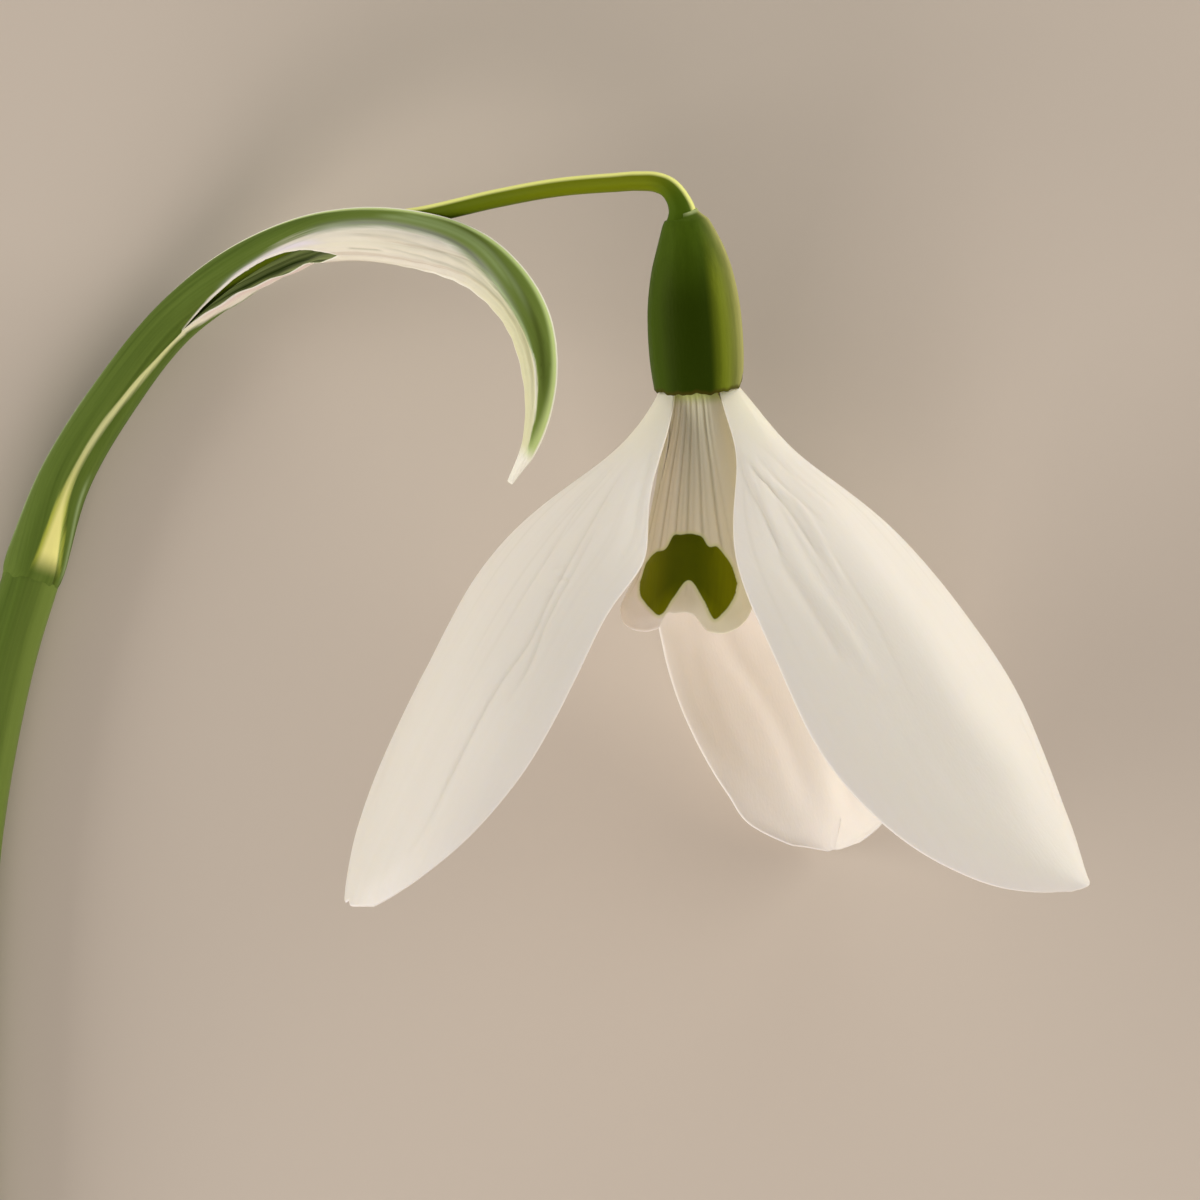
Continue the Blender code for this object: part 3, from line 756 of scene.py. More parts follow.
def stroke(points, side, down):
    """Distance of each point of a surface from a drawn line, and its share of the way along that line."""
    control = np.array(points, float)
    line = smooth_curve(arc_stations(control), control, np.linspace(0, 1, STROKE_STEPS * len(control)))
    stations = arc_stations(line)
    at = np.stack([side, down], -1)
    nearest = np.full(side.shape, np.inf)
    share = np.zeros(side.shape)
    for k in range(len(line) - 1):
        step = line[k + 1] - line[k]
        t = np.clip(((at - line[k]) @ step) / (step @ step), 0, 1)
        apart = np.linalg.norm(at - line[k] - t[..., None] * step, axis=-1)
        closer = apart < nearest
        nearest = np.where(closer, apart, nearest)
        share = np.where(closer, stations[k] + t * (stations[k + 1] - stations[k]), share)
    return nearest, share


def drawn(strokes, side, down, to_surface):
    """The height and the darkening that drawn lines give a surface; to_surface places one of their points."""
    height = np.zeros_like(side)
    shade = np.zeros_like(side)
    for points, width, rise, dark in strokes:
        apart, share = stroke([to_surface(*point) for point in points], side, down)
        soft = np.exp(-((apart / width) ** 2)) * smooth_step(0, STROKE_FADE, share)
        soft = soft * (1 - smooth_step(1 - 1.5 * STROKE_FADE, 1, share))
        height += rise * soft
        shade = np.maximum(shade, dark * soft)
    return height, shade


def outer_veins(shape, across, u, half_width):
    """How deep the fine veins of an outer tepal run, 0 to 1."""
    random = np.random.default_rng(shape["seed"])
    veins = np.zeros_like(across)
    for centre in np.linspace(-0.86, 0.86, VEIN_COUNT):
        place = centre + random.uniform(-0.05, 0.05)
        strength = random.uniform(0.1, 0.45)
        reach = random.uniform(0.35, 0.8)
        width = random.uniform(0.07, 0.14)
        line = place + 0.05 * wander(random.integers(1000), 5, u)
        fade = smooth_step(0.08, 0.24, u) * (1 - smooth_step(reach - 0.3, reach, u))
        veins = np.maximum(veins, strength * fade * np.exp(-(((across - line) * half_width / width) ** 2)))
    return veins


def outer_pleats(shape, across, u):
    """The soft pleats that run down an outer tepal from its claw, about -1 to 1."""
    random = np.random.default_rng(shape["seed"] + 100)
    pleats = np.zeros_like(across)
    for wave, share, middle, spread in PLEATS:
        pleats += share * np.cos(across * wave + random.uniform(0, 6)) * bump_at(middle, spread, u)
    return pleats * smooth_step(0.03, 0.17, u)


def thickness(edge, full, span, from_edge):
    """A wall's thickness: thin at its edge and full at the end of the span of distances from it."""
    return edge + (full - edge) * smooth_step(*span, from_edge)


def add_tepal(node, azimuth, points, above, below, fields):
    """A tepal's sheet, set about the flower's axis."""
    world = in_flower(points, azimuth)
    return add_sheet(node + "_petal", world, grid_normals(world), above, below, fields)


def build_outer_tepal(node, sizes):
    shape = OUTER_TEPALS[node]
    length = shape["length"]
    across, along = cell_grid(OUTER_CELLS, TIP_CROWDING)
    tip = smooth_curve(END_AT, shape["end"], across)
    u = along * tip - CLAW_RISE * (1 - smooth_step(0.0, 0.06, along)) * smooth_step(0.3, 0.9, across)
    side, half_width = reach_across(shape, across, u)
    from_edge = edge_distance(shape, side, u, tip)
    points = tepal_points(shape, OUTER_RADIUS, OUTER_DROP, side, u)
    ripple = sizes.petal_ripple / MM * wander(shape["seed"], 7, u) * across**2 * smooth_step(0.2, 0.5, u)
    pleats = sizes.petal_pleats / MM * outer_pleats(shape, across, u)
    height, shade = drawn(
        TEPAL_STROKES[node], side, u * length, lambda a, b: (reach_across(shape, a, b)[0], b * length))
    points = points + grid_normals(points) * (pleats + ripple + height)[..., None]
    veins = outer_veins(shape, across, u, half_width)
    full = thickness(OUTER_EDGE, OUTER_FULL, (-0.2, 1.6), from_edge)
    depth = sizes.vein_depth / MM * veins * smooth_step(0.0, 0.5, from_edge)
    grain = joined(side, shape["seed"], u * length)
    # groove: the fine veins' own darker tone, and painted shade along the drawn furrows and folds.
    fields = {"grain": grain, "along": u, "groove": np.maximum(veins, shade)}
    return add_tepal(node, shape["azimuth"], points, full / 2 - depth, full / 2, fields)


def outline_distance(x, y, top, foot):
    """Signed distance to the closed outline between two curves, each (stations, values); positive inside."""
    fine = np.linspace(top[0][0], top[0][-1], OUTLINE_STEPS)
    line = np.concatenate([np.stack([fine, smooth_curve(*curve, fine)], -1) for curve in (top, foot)])
    flat = np.stack([x.ravel(), y.ravel()], -1)
    nearest = np.full(len(flat), np.inf)
    for point in line:
        nearest = np.minimum(nearest, ((flat - point) ** 2).sum(axis=1))
    nearest = np.sqrt(nearest).reshape(x.shape)
    between = (y > smooth_curve(*top, x)) & (y < smooth_curve(*foot, x)) & (x > fine[0]) & (x < fine[-1])
    return np.where(between, nearest, -nearest)


def inner_grooves(u, side, mark):
    """How deep the furrows of an inner tepal run, 0 to 1; they stop short of its mark and its lobes."""
    half_width = smooth_curve(WIDTH_AT, INNER_SHAPE["width"], u)
    grooves = np.zeros_like(u)
    for number, place in enumerate(INNER_GROOVES):
        line = (place + 0.015 * wander(number + 40, 5, u)) * half_width
        grooves = np.maximum(grooves, (0.65 + 0.35 * (-1) ** number) * bump_at(line, GROOVE_WIDTH, side))
    reach = smooth_step(-0.01, 0.03, u) * (1 - smooth_step(-0.25, 0.1, mark))
    return grooves * (reach * (1 - smooth_step(0.72, 0.86, u)))


def build_inner_tepal(node, sizes):
    across, along = cell_grid(INNER_CELLS)
    tip = smooth_curve(TIP_AT, TIP_REACH, across)
    u = along * tip
    side = reach_across(INNER_SHAPE, across, u)[0]
    down = u * INNER_SHAPE["length"]
    mark = outline_distance(side, down, (MARK_TOP_AT, MARK_TOP), (MARK_FOOT_AT, MARK_FOOT))
    from_edge = edge_distance(INNER_SHAPE, side, u, tip)
    grooves = inner_grooves(u, side, mark)
    points = tepal_points(INNER_SHAPE, INNER_RADIUS, INNER_DROP, side, u)
    points = points + (smooth_step(0.74, 0.9, u) * smooth_step(0.45, 1.0, -across))[..., None] * LOBE_SPREAD
    flare = sizes.lobe_flare / MM * smooth_step(0.86, 1.0, u) * np.abs(across)
    points = points + grid_normals(points) * flare[..., None]
    swell = MARK_SWELL * smooth_step(-0.1, 0.5, mark)
    full = thickness(INNER_EDGE, INNER_FULL, (-0.1, 0.7), from_edge)
    above = full / 2 - sizes.rib_depth / MM * grooves * smooth_step(0.0, 0.3, from_edge) + swell - INNER_SINK
    azimuth = INNER_AZIMUTHS[node]
    grain = joined(side, azimuth, down)
    fields = {"grain": grain, "along": u, "across": across, "groove": grooves, "mark": mark}
    return add_tepal(node, azimuth, points, above, full / 2, fields)


def outer_petal_finish(colours):
    w = Finish("outer petal", specular=0.25, subsurface=0.35, depth=0.0007)
    along, groove, inside = w.fields("along", "groove", "inside")
    lining = w.layered(
        colours.petal_lining,
        (w.ramp(along, 0.7, 0.97, 0.0, 0.65), colours.petal_white),
        # Veins, and painted shade along the furrows and folds.
        (groove, 0.5, colours.petal_vein_and_shade))
    w.skin(11.0, PETAL_RELIEF, 0.36, 0.52)
    return w.colour(
        colours.petal_white,
        (w.streaks(2.2, 0.05, 1.0, 1.6), 0.35, colours.petal_cream),
        (w.ramp(along, 0.18, 0.0), 0.6, colours.petal_claw),
        # Veins in their own darker tone, and painted shade along the furrows and folds.
        (groove, 0.4, colours.petal_vein_and_shade),
        (inside, 0.85, lining))


def inner_petal_finish(colours):
    w = Finish("inner petal", specular=0.2, subsurface=0.25, depth=0.0005, gleam=colours.green_gleam)
    across, along, groove, mark, inside = w.fields("across", "along", "groove", "mark", "inside")
    aside = w.math("ABSOLUTE", across)
    # Painted shade in the notch between the lobes.
    middle = w.times(w.ramp(aside, 0.4, 0.1), w.ramp(along, 0.97, 0.86))
    flank = w.times(w.ramp(aside, 0.4, 1.0), w.ramp(along, 0.95, 0.7))
    stripes = w.times(w.border(groove, 0.25, 0.2), w.ramp(along, 0.98, 0.3))
    green = w.layered(
        colours.mark_deep,
        (w.most(w.ramp(aside, 0.15, 0.72), w.ramp(along, 0.77, 0.93, 0.0, 0.9)), colours.mark_green),
        (w.streaks(4.0, 0.06, 5.0, 2.2), 0.35, colours.mark_deep))
    lining = w.layered(
        colours.petal_lining,
        (w.border(mark, 0.1, 0.3), 0.75, colours.mark_green),
        (stripes, 0.5, colours.mark_edge))
    w.skin(12.0, PETAL_RELIEF, 0.42, 0.55)
    return w.colour(
        colours.lobe_pink,
        (w.ramp(across, -0.5, 0.6), colours.lobe_cream),
        (w.streaks(3.0, 0.05, 2.0, 1.6), 0.15, colours.petal_cream),
        # Painted shade on the upper part, under the outer tepals, and in the notch.
        (w.most(w.ramp(along, 0.82, 0.62, 0.0, 0.85), middle), colours.inner_shade),
        (flank, 0.15, colours.inner_flank),
        # Painted shade in the furrows.
        (groove, 0.4, colours.inner_furrow_shade),
        (w.ramp(along, 0.05, 0.0), 0.8, colours.claw_green),
        (w.border(mark, -0.06, 0.13), 0.7, colours.mark_edge),
        (w.border(mark, 0.03, 0.03), green),
        (inside, lining))


# ---- Ovary, stamens and style ----


def turned_rings(profile, cells, wave=None):
    """Rings of a turned body about the flower's axis from a profile of heights and radii, from the top down.

    wave, if given, changes the radii and heights by azimuth. Returns rings, azimuths, heights and radii.
    """
    stations = np.array(profile, float)
    share = np.arange(len(stations))
    at = np.linspace(0, len(stations) - 1, (len(stations) - 1) * cells[1] + 1)
    height = smooth_curve(share, stations[:, 0], at)
    radius = np.maximum(smooth_curve(share, stations[:, 1], at), LEAST_RADIUS)
    azimuth = np.linspace(0, -2 * pi, cells[0], endpoint=False)
    azimuths, heights = np.meshgrid(azimuth, height)
    radii = np.repeat(radius[:, None], cells[0], axis=1)
    if wave is not None:
        radii, heights = wave(azimuths, heights, radii)
    return joined(radii * np.sin(azimuths), -radii * np.cos(azimuths), heights), azimuths, heights, radii


def waves(azimuths, parts):
    """The sum of waves round an axis, each (height, count, phase)."""
    return sum(height * np.cos(azimuths * count + phase) for height, count, phase in parts)


def ovary_wave(azimuths, heights, radii):
    """The ovary's faint long ribs, the bow, notches and uneven edge of its rim, and the lip at its top."""
    aside = np.sin(azimuths)
    front = np.cos(azimuths)
    body = smooth_step(0.0, 0.8, heights) * (1 - smooth_step(6.0, 7.6, heights))
    notch = 0.0
    for centre in RIM_NOTCHES:
        notch = notch + NOTCH_DEPTH * np.maximum(0, np.cos(azimuths - radians(centre))) ** 30
    bow = RIM_BOW * (1 - front) * (front > 0) + RIM_BOW * (front <= 0)
    rim = (1 - smooth_step(0.0, 0.7, heights)) * smooth_step(1.5, 1.9, radii)
    lip = smooth_step(7.45, 7.9, heights) * smooth_step(0.4, 0.6, radii)
    drawn_in = waves(azimuths, LIP_WAVES) - LIP_PINCH * np.abs(aside)
    radii = radii * (1 + waves(azimuths, OVARY_RIBS) * body) + lip * drawn_in
    uneven = waves(azimuths, RIM_WAVES)
    return radii, heights + rim * (uneven + bow + notch) + lip * (LIP_TILT * aside - LIP_DROP)


def build_ovary():
    rings, azimuths, heights, radii = turned_rings(OVARY_PROFILE, OVARY_CELLS, ovary_wave)
    plain = turned_rings(OVARY_PROFILE, OVARY_CELLS)[2]
    sideways = np.sin(azimuths)
    # The lip's painted highlight: a pale crescent on its right side only.
    lip = smooth_step(7.8, 7.97, plain) * smooth_step(0.4, 0.6, radii) * smooth_step(-0.5, 0.3, sideways)
    fields = {
        "grain": rings, "height": heights, "lip": lip, "sideways": sideways,
        "rim": plain - 0.6 * (radii < 1.9) * (heights < 1),
        "rib": bump_at(radians(HIGHLIGHT_AT), radians(HIGHLIGHT_WIDTH), np.mod(azimuths, 2 * pi)),
    }
    lean = smooth_step(6.0, 8.0, heights)[..., None] * OVARY_LEAN
    return add_round("ovary_skin", in_flower(rings + lean), fields)


def anther_wave(azimuths, heights, radii):
    """The furrows between an anther's two pollen sacs and down each sac."""
    anther = smooth_step(1.1, 1.4, -heights) * (1 - smooth_step(4.8, 5.7, -heights))
    furrow = np.exp(-((np.sin(azimuths) / 0.3) ** 2))
    seam = np.exp(-((np.cos(azimuths) / 0.2) ** 2))
    return radii * (1 - anther * (0.22 * furrow + 0.1 * seam)), heights


def build_stamen(number):
    rings, azimuths, heights, _ = turned_rings(STAMEN_PROFILE, STAMEN_CELLS, anther_wave)
    lean = np.array(Matrix.Rotation(radians(-STAMEN_LEAN), 3, "X"))
    placed = rings @ lean.T + (0, -STAMEN_CIRCLE, -STAMEN_DROP)
    fields = {"grain": rings, "anther": -heights - FILAMENT_END, "seam": np.abs(np.cos(azimuths))}
    return add_round(f"stamen_{number + 1}_fine", in_flower(placed, 360 * number / STAMEN_COUNT), fields)


def build_style():
    rings, _, heights, _ = turned_rings(STYLE_PROFILE, STAMEN_CELLS)
    fields = {"grain": rings, "height": -heights}
    return add_round("style_fine", in_flower(rings + (0, 0, -STAMEN_DROP)), fields)


def ovary_finish(colours):
    w = Finish("ovary skin", specular=0.1, depth=0.0004, gleam=colours.green_gleam)
    height, sideways, rim, rib, lip = w.fields("height", "sideways", "rim", "rib", "lip")
    # Painted light: a lighter green band down the ovary's right side, where the light falls.
    right_light_band = w.times(w.ramp(sideways, 0.25, 0.62), w.ramp(sideways, 0.6, 0.85, 1.0, 0.55))
    w.skin(9.0, GREEN_RELIEF, 0.45, 0.6)
    return w.colour(
        colours.ovary_deep,
        (w.ramp(height, 3.5, 7.6), colours.ovary_green),
        # Painted light: the ovary's left side is lighter green too.
        (w.ramp(sideways, -0.5, -0.95, 0.0, 0.75), colours.ovary_green),
        (right_light_band, w.ramp(height, 7.6, 4.6), colours.ovary_painted_light),
        # Painted highlight along the ovary's right edge.
        (rib, 0.85, colours.ovary_highlight),
        (w.streaks(3.0, 0.04, 3.0, 2.2), 0.35, colours.ovary_deep),
        # Painted highlight on the lip's right side.
        (lip, 0.85, colours.lip_highlight),
        # Painted shadow along the ovary's lower edge and in the recess under it.
        (w.ramp(rim, 0.1, -0.06), 0.75, colours.rim_shadow),
        (w.ramp(rim, -0.12, -0.3, 0.0, 0.8), colours.claw_green))


def anther_finish(colours):
    w = Finish("anther", specular=0.35, subsurface=0.1, depth=0.0003)
    anther, seam = w.fields("anther", "seam")
    orange = w.layered(
        colours.anther_orange,
        (w.streaks(7.0, 0.1, 4.0, 1.8), 0.5, tinted(colours.anther_orange, 1.25)),
        (w.ramp(anther, 3.9, 4.7), colours.style_white),
        (w.ramp(seam, 0.9, 1.0), 0.5, tinted(colours.anther_orange, 0.6)))
    w.skin(16.0, ANTHER_RELIEF, 0.5, 0.7)
    return w.colour(colours.style_white, (w.border(anther, 0.0, 0.08), orange))


def style_finish(colours):
    w = Finish("style", specular=0.45, subsurface=0.2, depth=0.0003)
    w.skin(14.0, PETAL_RELIEF, 0.35, 0.5)
    return w.colour(
        colours.style_white,
        (w.streaks(6.0, 0.1, 6.0, 1.5), 0.35, colours.petal_claw),
        (w.ramp(w.fields("height")[0], 5.0, 7.6), 0.5, colours.claw_green))


# ---- Spathe and stalks ----


def route_frame(route, along):
    """A route's points, its directions into the arch and up off the surface, and its length."""
    points = np.array(route, float) + (OVARY_BASE[0], OVARY_BASE[1], 0)
    stations = arc_stations(points)
    ahead = unit(smooth_curve(stations, points, np.minimum(along + 0.01, 1))
                 - smooth_curve(stations, points, along - 0.01))
    inward = unit(np.cross(ahead, (0.0, 0.0, 1.0)))
    length = np.linalg.norm(np.diff(points, axis=0), axis=1).sum()
    return smooth_curve(stations, points, along), inward, np.cross(inward, ahead), length


def build_spathe():
    near_cells, far_cells, rows = SPATHE_CELLS
    along = np.linspace(SPATHE_START, 1, rows + 1)[:, None]
    wall = smooth_curve(SECTION_AT, SPATHE_WALL_ANGLE, along)
    twist = smooth_curve(SECTION_AT, SPATHE_TWIST, along)
    is_open = (along > SLIT_START) & (along < SLIT_END)
    near = np.interp(along, SLIT_AT, SLIT_NEAR)
    far = np.where(is_open, np.interp(along, SLIT_AT, SLIT_FAR), near)
    upper = wall + twist + (near - wall - twist) * np.linspace(0, 1, near_cells + 1)
    lower = far + (twist - wall - far) * np.linspace(0, 1, far_cells + 1)
    angle = np.concatenate([upper, lower], axis=1)
    along = np.repeat(along, angle.shape[1], axis=1)
    centre, inward, over, length = route_frame(SPATHE_ROUTE, along)
    inner_side = smooth_step(-0.6, 0.6, np.cos(np.radians(angle)))
    bulge = (smooth_curve(BULGE_AT, INNER_BULGE, along) * inner_side
             + smooth_curve(BULGE_AT, OUTER_BULGE, along) * (1 - inner_side))
    sunk = 1 - SPATHE_SINK * (1 - smooth_step(SPATHE_START, SPATHE_SUNK_TO, along))
    half_width = (smooth_curve(SECTION_AT, SPATHE_HALF_WIDTH, along) + bulge) * sunk
    half_depth = smooth_curve(SECTION_AT, SPATHE_HALF_DEPTH, along) * sunk
    reach = spathe_relief(angle, along, near, far, is_open)
    turn = np.radians(angle)
    points = (centre + (half_width * reach * np.cos(turn))[..., None] * inward
              + (half_depth * reach * np.sin(turn))[..., None] * over)
    points[..., 2] = np.maximum(points[..., 2], SPATHE_FLOOR)
    sides = np.split(points, [near_cells + 1], axis=1)
    normals = np.concatenate([grid_normals(side) for side in sides], axis=1)
    closed = ~is_open[:, 0]
    seam = unit(normals[:, near_cells] + normals[:, near_cells + 1])
    normals[closed, near_cells] = seam[closed]
    normals[closed, near_cells + 1] = seam[closed]
    limits = (wall + twist, twist - wall, near, far, is_open)
    fields, height = spathe_fields(angle, along, half_width, length, limits)
    full = thickness(SPATHE_EDGE, SPATHE_FULL, (0.0, 0.5), fields["edge"])
    full = full * (0.45 + 0.55 * smooth_step(-1, 1, fields["keel"]))
    full = full * (0.3 + 0.7 * smooth_step(SPATHE_START, 0.015, along))
    slit = (near_cells, is_open[:, 0])
    return add_sheet("spathe_skin", points, normals, full / 2 + height, full / 2 - height, fields, slit)


def spathe_relief(angle, along, near, far, is_open):
    """How far out the wall stands, as a share of its plain section: keels, folds and crumpled edges."""
    opened = smooth_step(SLIT_START, SLIT_START + SLIT_RAMP, along)
    opened = opened * (1 - smooth_step(SLIT_END - SLIT_RAMP, SLIT_END, along))
    near_lip = bump_at(near, 14, angle) * (angle >= near) * opened
    crumple = (angle <= far) * is_open * np.exp((angle - far) / 45.0) * opened
    folds = 0.10 * np.sin(along * 150 + 0.05 * angle) + 0.08 * np.sin(along * 83 + 1.3 + 0.03 * angle)
    border = smooth_curve(KEEL_AT, KEEL_ANGLE, along)
    membrane = (angle < border) * (angle > -20) * smooth_step(0.5, 0.6, along)
    ridges = 0.018 * np.sin(angle * 0.32 + 3 * wander(21, 9, along)) * membrane
    keel = 0.03 * bump_at(border + 28, 14, angle)
    wrinkle = 0.012 * np.sin(along * 210 + angle * 0.05) * smooth_step(0.55, 0.7, along)
    return 1 + 0.06 * near_lip + crumple * (0.45 * folds - 0.05) + ridges + keel + wrinkle * membrane


def spathe_fields(angle, along, half_width, length, limits):
    """What the spathe's finish reads, and the height of its drawn lines.

    limits holds the angles of the upper edge, the lower edge and the slit's two sides, and where the slit is
    open. keel is the way into the green, from -1 in the membrane to 1, and seam the way from the green into
    the membrane.
    """
    upper, lower, near, far, is_open = limits
    arc = np.radians(1.0) * half_width
    near_keel = (angle - smooth_curve(KEEL_AT, KEEL_ANGLE, along)) * arc
    far_keel = (smooth_curve(FAR_KEEL_AT, FAR_KEEL_NEAR, along) - angle) * arc
    keel = np.maximum(near_keel / np.interp(along, BLUR_AT, KEEL_BLUR), far_keel / KEEL_BLUR[0])
    top = (upper - angle) * arc
    foot = (angle - lower) * arc
    slit = np.where(is_open, np.where(angle >= near, angle - near, far - angle), 90)
    fields = {
        "grain": joined(angle * arc, 2.0, along * length), "along": along, "keel": np.clip(keel, -3, 3),
        "edge": np.minimum(np.minimum(top, foot), np.maximum(slit, 0) * arc),
        "rim": 1 - smooth_step(0.35, 1.0, top / np.interp(along, RIM_AT, RIM_WIDTH)),
        "seam": -np.maximum(near_keel, far_keel),
    }
    per_degree = np.radians(STROKE_RADIUS)
    height = np.zeros_like(angle)
    for key, strokes in SPATHE_STROKES.items():
        rise, fields[key] = drawn(
            strokes, angle * per_degree, along * length, lambda a, b: (b * per_degree, a * length))
        height += rise
    return fields, height


def stalk_rings(route, radius_at, radii, crowding, swell):
    """Rings of a stalk along its route, and its fields; swell changes the radius round and along it."""
    along = 1 - (1 - np.linspace(0, 1, STALK_CELLS[1] + 1)) ** crowding
    azimuth = np.linspace(0, -2 * pi, STALK_CELLS[0], endpoint=False)
    azimuths, alongs = np.meshgrid(azimuth, along)
    centre, inward, over, length = route_frame(route, alongs)
    radius = smooth_curve(radius_at, radii, alongs) * swell(azimuths, alongs, length)
    aside = radius * np.cos(azimuths)
    above = radius * np.sin(azimuths)
    grain = joined(aside, above, alongs * length)
    rings = centre + aside[..., None] * inward + above[..., None] * over
    return rings, {"grain": grain, "along": alongs, "azimuth_cos": np.cos(azimuths)}


def pedicel_swell(azimuths, alongs, length):
    """Three faint ribs down the pedicel, a slight unevenness, and its flare into the ovary."""
    ribs = 0.03 * np.cos(3 * azimuths + 4 * alongs)
    from_end = (1 - alongs) * length
    flare = (0.55 + 0.35 * np.cos(azimuths)) * np.exp(-((from_end / 0.8) ** 1.3))
    return 1 + ribs + 0.015 * np.sin(alongs * 37) * np.cos(azimuths) + flare


def scape_swell(azimuths, alongs, length):
    """Faint ribs that run down the scape, its narrower top inside the spathe, and the cut end drawn in."""
    from_cut = (1 - alongs) * length
    ribs = 0.02 * np.cos(2 * (azimuths - 0.9)) + 0.01 * np.cos(9 * azimuths + 2 * alongs)
    covered = -0.16 * (1 - smooth_step(0.0, 0.3, alongs * length))
    return 1 + ribs + covered - 0.04 * np.exp(-from_cut / 0.25)


def close_end(rings, fields, steps, inset):
    """Adds rings that close a stalk's last end, in to its middle; inset is how deep the middle lies."""
    edge = rings[-1]
    middle = edge.mean(axis=0)
    inwards = unit(rings[-2].mean(axis=0) - middle)
    share = np.linspace(1, 0.02, steps + 1)[1:, None, None]
    closing = middle + (edge - middle) * share + inwards * inset * (1 - share**2)
    made = {}
    for key, field in fields.items():
        made[key] = np.concatenate([field, np.repeat(field[-1:], steps, axis=0)])
    made["grain"][-steps:, :, :2] *= share
    made["radial"][-steps:] = share[..., 0]
    return np.concatenate([rings, closing]), made


def build_pedicel():
    return add_round("pedicel_skin", *stalk_rings(
        PEDICEL_ROUTE, PEDICEL_RADIUS_AT, PEDICEL_RADIUS, PEDICEL_CROWDING, pedicel_swell))


def build_scape():
    rings, fields = stalk_rings(SCAPE_ROUTE, (0, 1), (SCAPE_RADIUS, SCAPE_RADIUS), 1.0, scape_swell)
    fields["radial"] = np.ones_like(fields["along"])
    for steps, inset in SCAPE_ENDS:
        turned = {key: field[::-1] for key, field in fields.items()}
        rings, fields = close_end(rings[::-1], turned, steps, inset)
    return add_round("scape_skin", rings, fields)


def spathe_finish(colours):
    w = Finish("spathe skin", specular=0.1, subsurface=0.08, depth=0.0004, gleam=colours.green_gleam)
    along, keel, edge, rim, seam, inside = w.fields("along", "keel", "edge", "rim", "seam", "inside")
    dark, pale, lilac, pink = w.fields("dark", "pale", "lilac", "pink")
    fine = w.streaks(5.0, 0.03, 7.0, 2.6)
    broad = w.streaks(1.6, 0.02, 9.0, 2.4)
    dry = w.border(w.streaks(2.6, 0.025, 12.0, 2.6), 0.7, 0.14)
    green = w.layered(
        colours.spathe_green,
        (fine, 0.45, colours.spathe_deep),
        (w.plus(w.times(broad, 0.4), w.ramp(along, 0.5, 0.72, 0.0, 0.4)), colours.spathe_light),
        (dark, 0.9, colours.spathe_olive),
        (lilac, 0.42, colours.membrane_grey),
        # Pale lines on the keels: partly their own streaks, partly painted highlight.
        (pale, 0.8, colours.spathe_streak_and_highlight))
    near_slit = w.layered(colours.membrane_violet, (w.ramp(along, 0.5, 0.58), colours.membrane_grey))
    cream = w.layered(
        colours.membrane_cream,
        (broad, 0.6, colours.membrane_lilac),
        (dry, 0.4, colours.membrane_brown),
        (w.ramp(along, 0.68, 0.84, 0.0, 0.55), colours.membrane_lime),
        (lilac, near_slit),
        (pink, colours.membrane_pink),
        (pale, colours.membrane_edge),
        (dark, colours.spathe_deep))
    low_seam = w.layered(
        colours.membrane_yellow,
        (w.ramp(seam, 0.0, 0.3), colours.membrane_seam),
        (w.ramp(along, 0.05, 0.17, 0.0, 0.3), colours.membrane_edge),
        (dark, 0.85, colours.spathe_light))
    border = w.plus(keel, w.times(w.math("SUBTRACT", fine, 0.5), 1.2))
    sheath = w.most(w.border(border, 0.0, 1.0), w.ramp(along, 0.026, -0.004))
    rim_margin_and_highlight = w.layered(colours.spathe_light, (w.ramp(along, 0.2, 0.5), colours.spathe_rim_and_highlight))
    lip = w.times(w.ramp(edge, 0.13, 0.02), w.ramp(along, 0.3, 0.36, 0.1, 0.9))
    lining = w.layered(colours.spathe_deep, (w.streaks(3.4, 0.02, 15.0, 4.0), colours.spathe_inside))
    w.skin(10.0, GREEN_RELIEF, 0.42, 0.58)
    return w.colour(
        cream,
        (w.ramp(along, 0.36, 0.28), low_seam),
        (sheath, green),
        # The pale rim: partly the spathe's own margin, partly painted highlight.
        (rim, 0.95, rim_margin_and_highlight),
        (w.most(lip, w.ramp(along, 0.95, 0.972)), colours.membrane_edge),
        (inside, 0.9, lining))


def stalk_finish(name, colours, green, deep, paler):
    """A stalk's finish and its streaked green; paler is the strength of the broad pale streaks."""
    w = Finish(name, specular=0.06, depth=0.0004, gleam=colours.green_gleam)
    w.skin(9.0, GREEN_RELIEF, 0.38, 0.52)
    return w, w.layered(
        green,
        (w.streaks(4.0, 0.03, 11.0, 2.2), 0.6, deep),
        (w.streaks(1.2, 0.03, 13.0, 2.0), paler, colours.spathe_light))


def pedicel_finish(colours):
    green = colours.pedicel_green
    w, body = stalk_finish("pedicel skin", colours, green, tinted(green, 0.7), 0.1)
    along, azimuth_cos = w.fields("along", "azimuth_cos")
    # Painted highlight: a pale line down the pedicel's outer side, where the light catches its edge.
    pale = w.times(w.ramp(azimuth_cos, -0.45, -0.82), w.ramp(along, 0.3, 0.5))
    return w.colour(
        body,
        (w.ramp(along, 0.86, 0.62, 0.0, 0.6), colours.ovary_green),
        (w.ramp(along, 0.93, 0.985), colours.ovary_green),
        (pale, 0.9, colours.pedicel_rim_highlight))


def scape_finish(colours):
    w, body = stalk_finish("scape skin", colours, colours.spathe_green, colours.spathe_deep, 0.35)
    radial, azimuth_cos = w.fields("radial", "azimuth_cos")
    # Painted light: one side of the scape is lighter green.
    skin = w.layered(body, (w.ramp(azimuth_cos, 0.0, -0.9, 0.0, 0.5), colours.spathe_light))
    ring = w.times(w.ramp(radial, 0.5, 0.62), w.ramp(radial, 0.8, 0.66))
    return w.colour(
        colours.claw_green,
        (w.ramp(radial, 0.75, 0.35), colours.membrane_cream),
        (ring, 0.6, colours.spathe_green),
        (w.ramp(radial, 0.9, 0.97), skin))


# ---- Stage ----

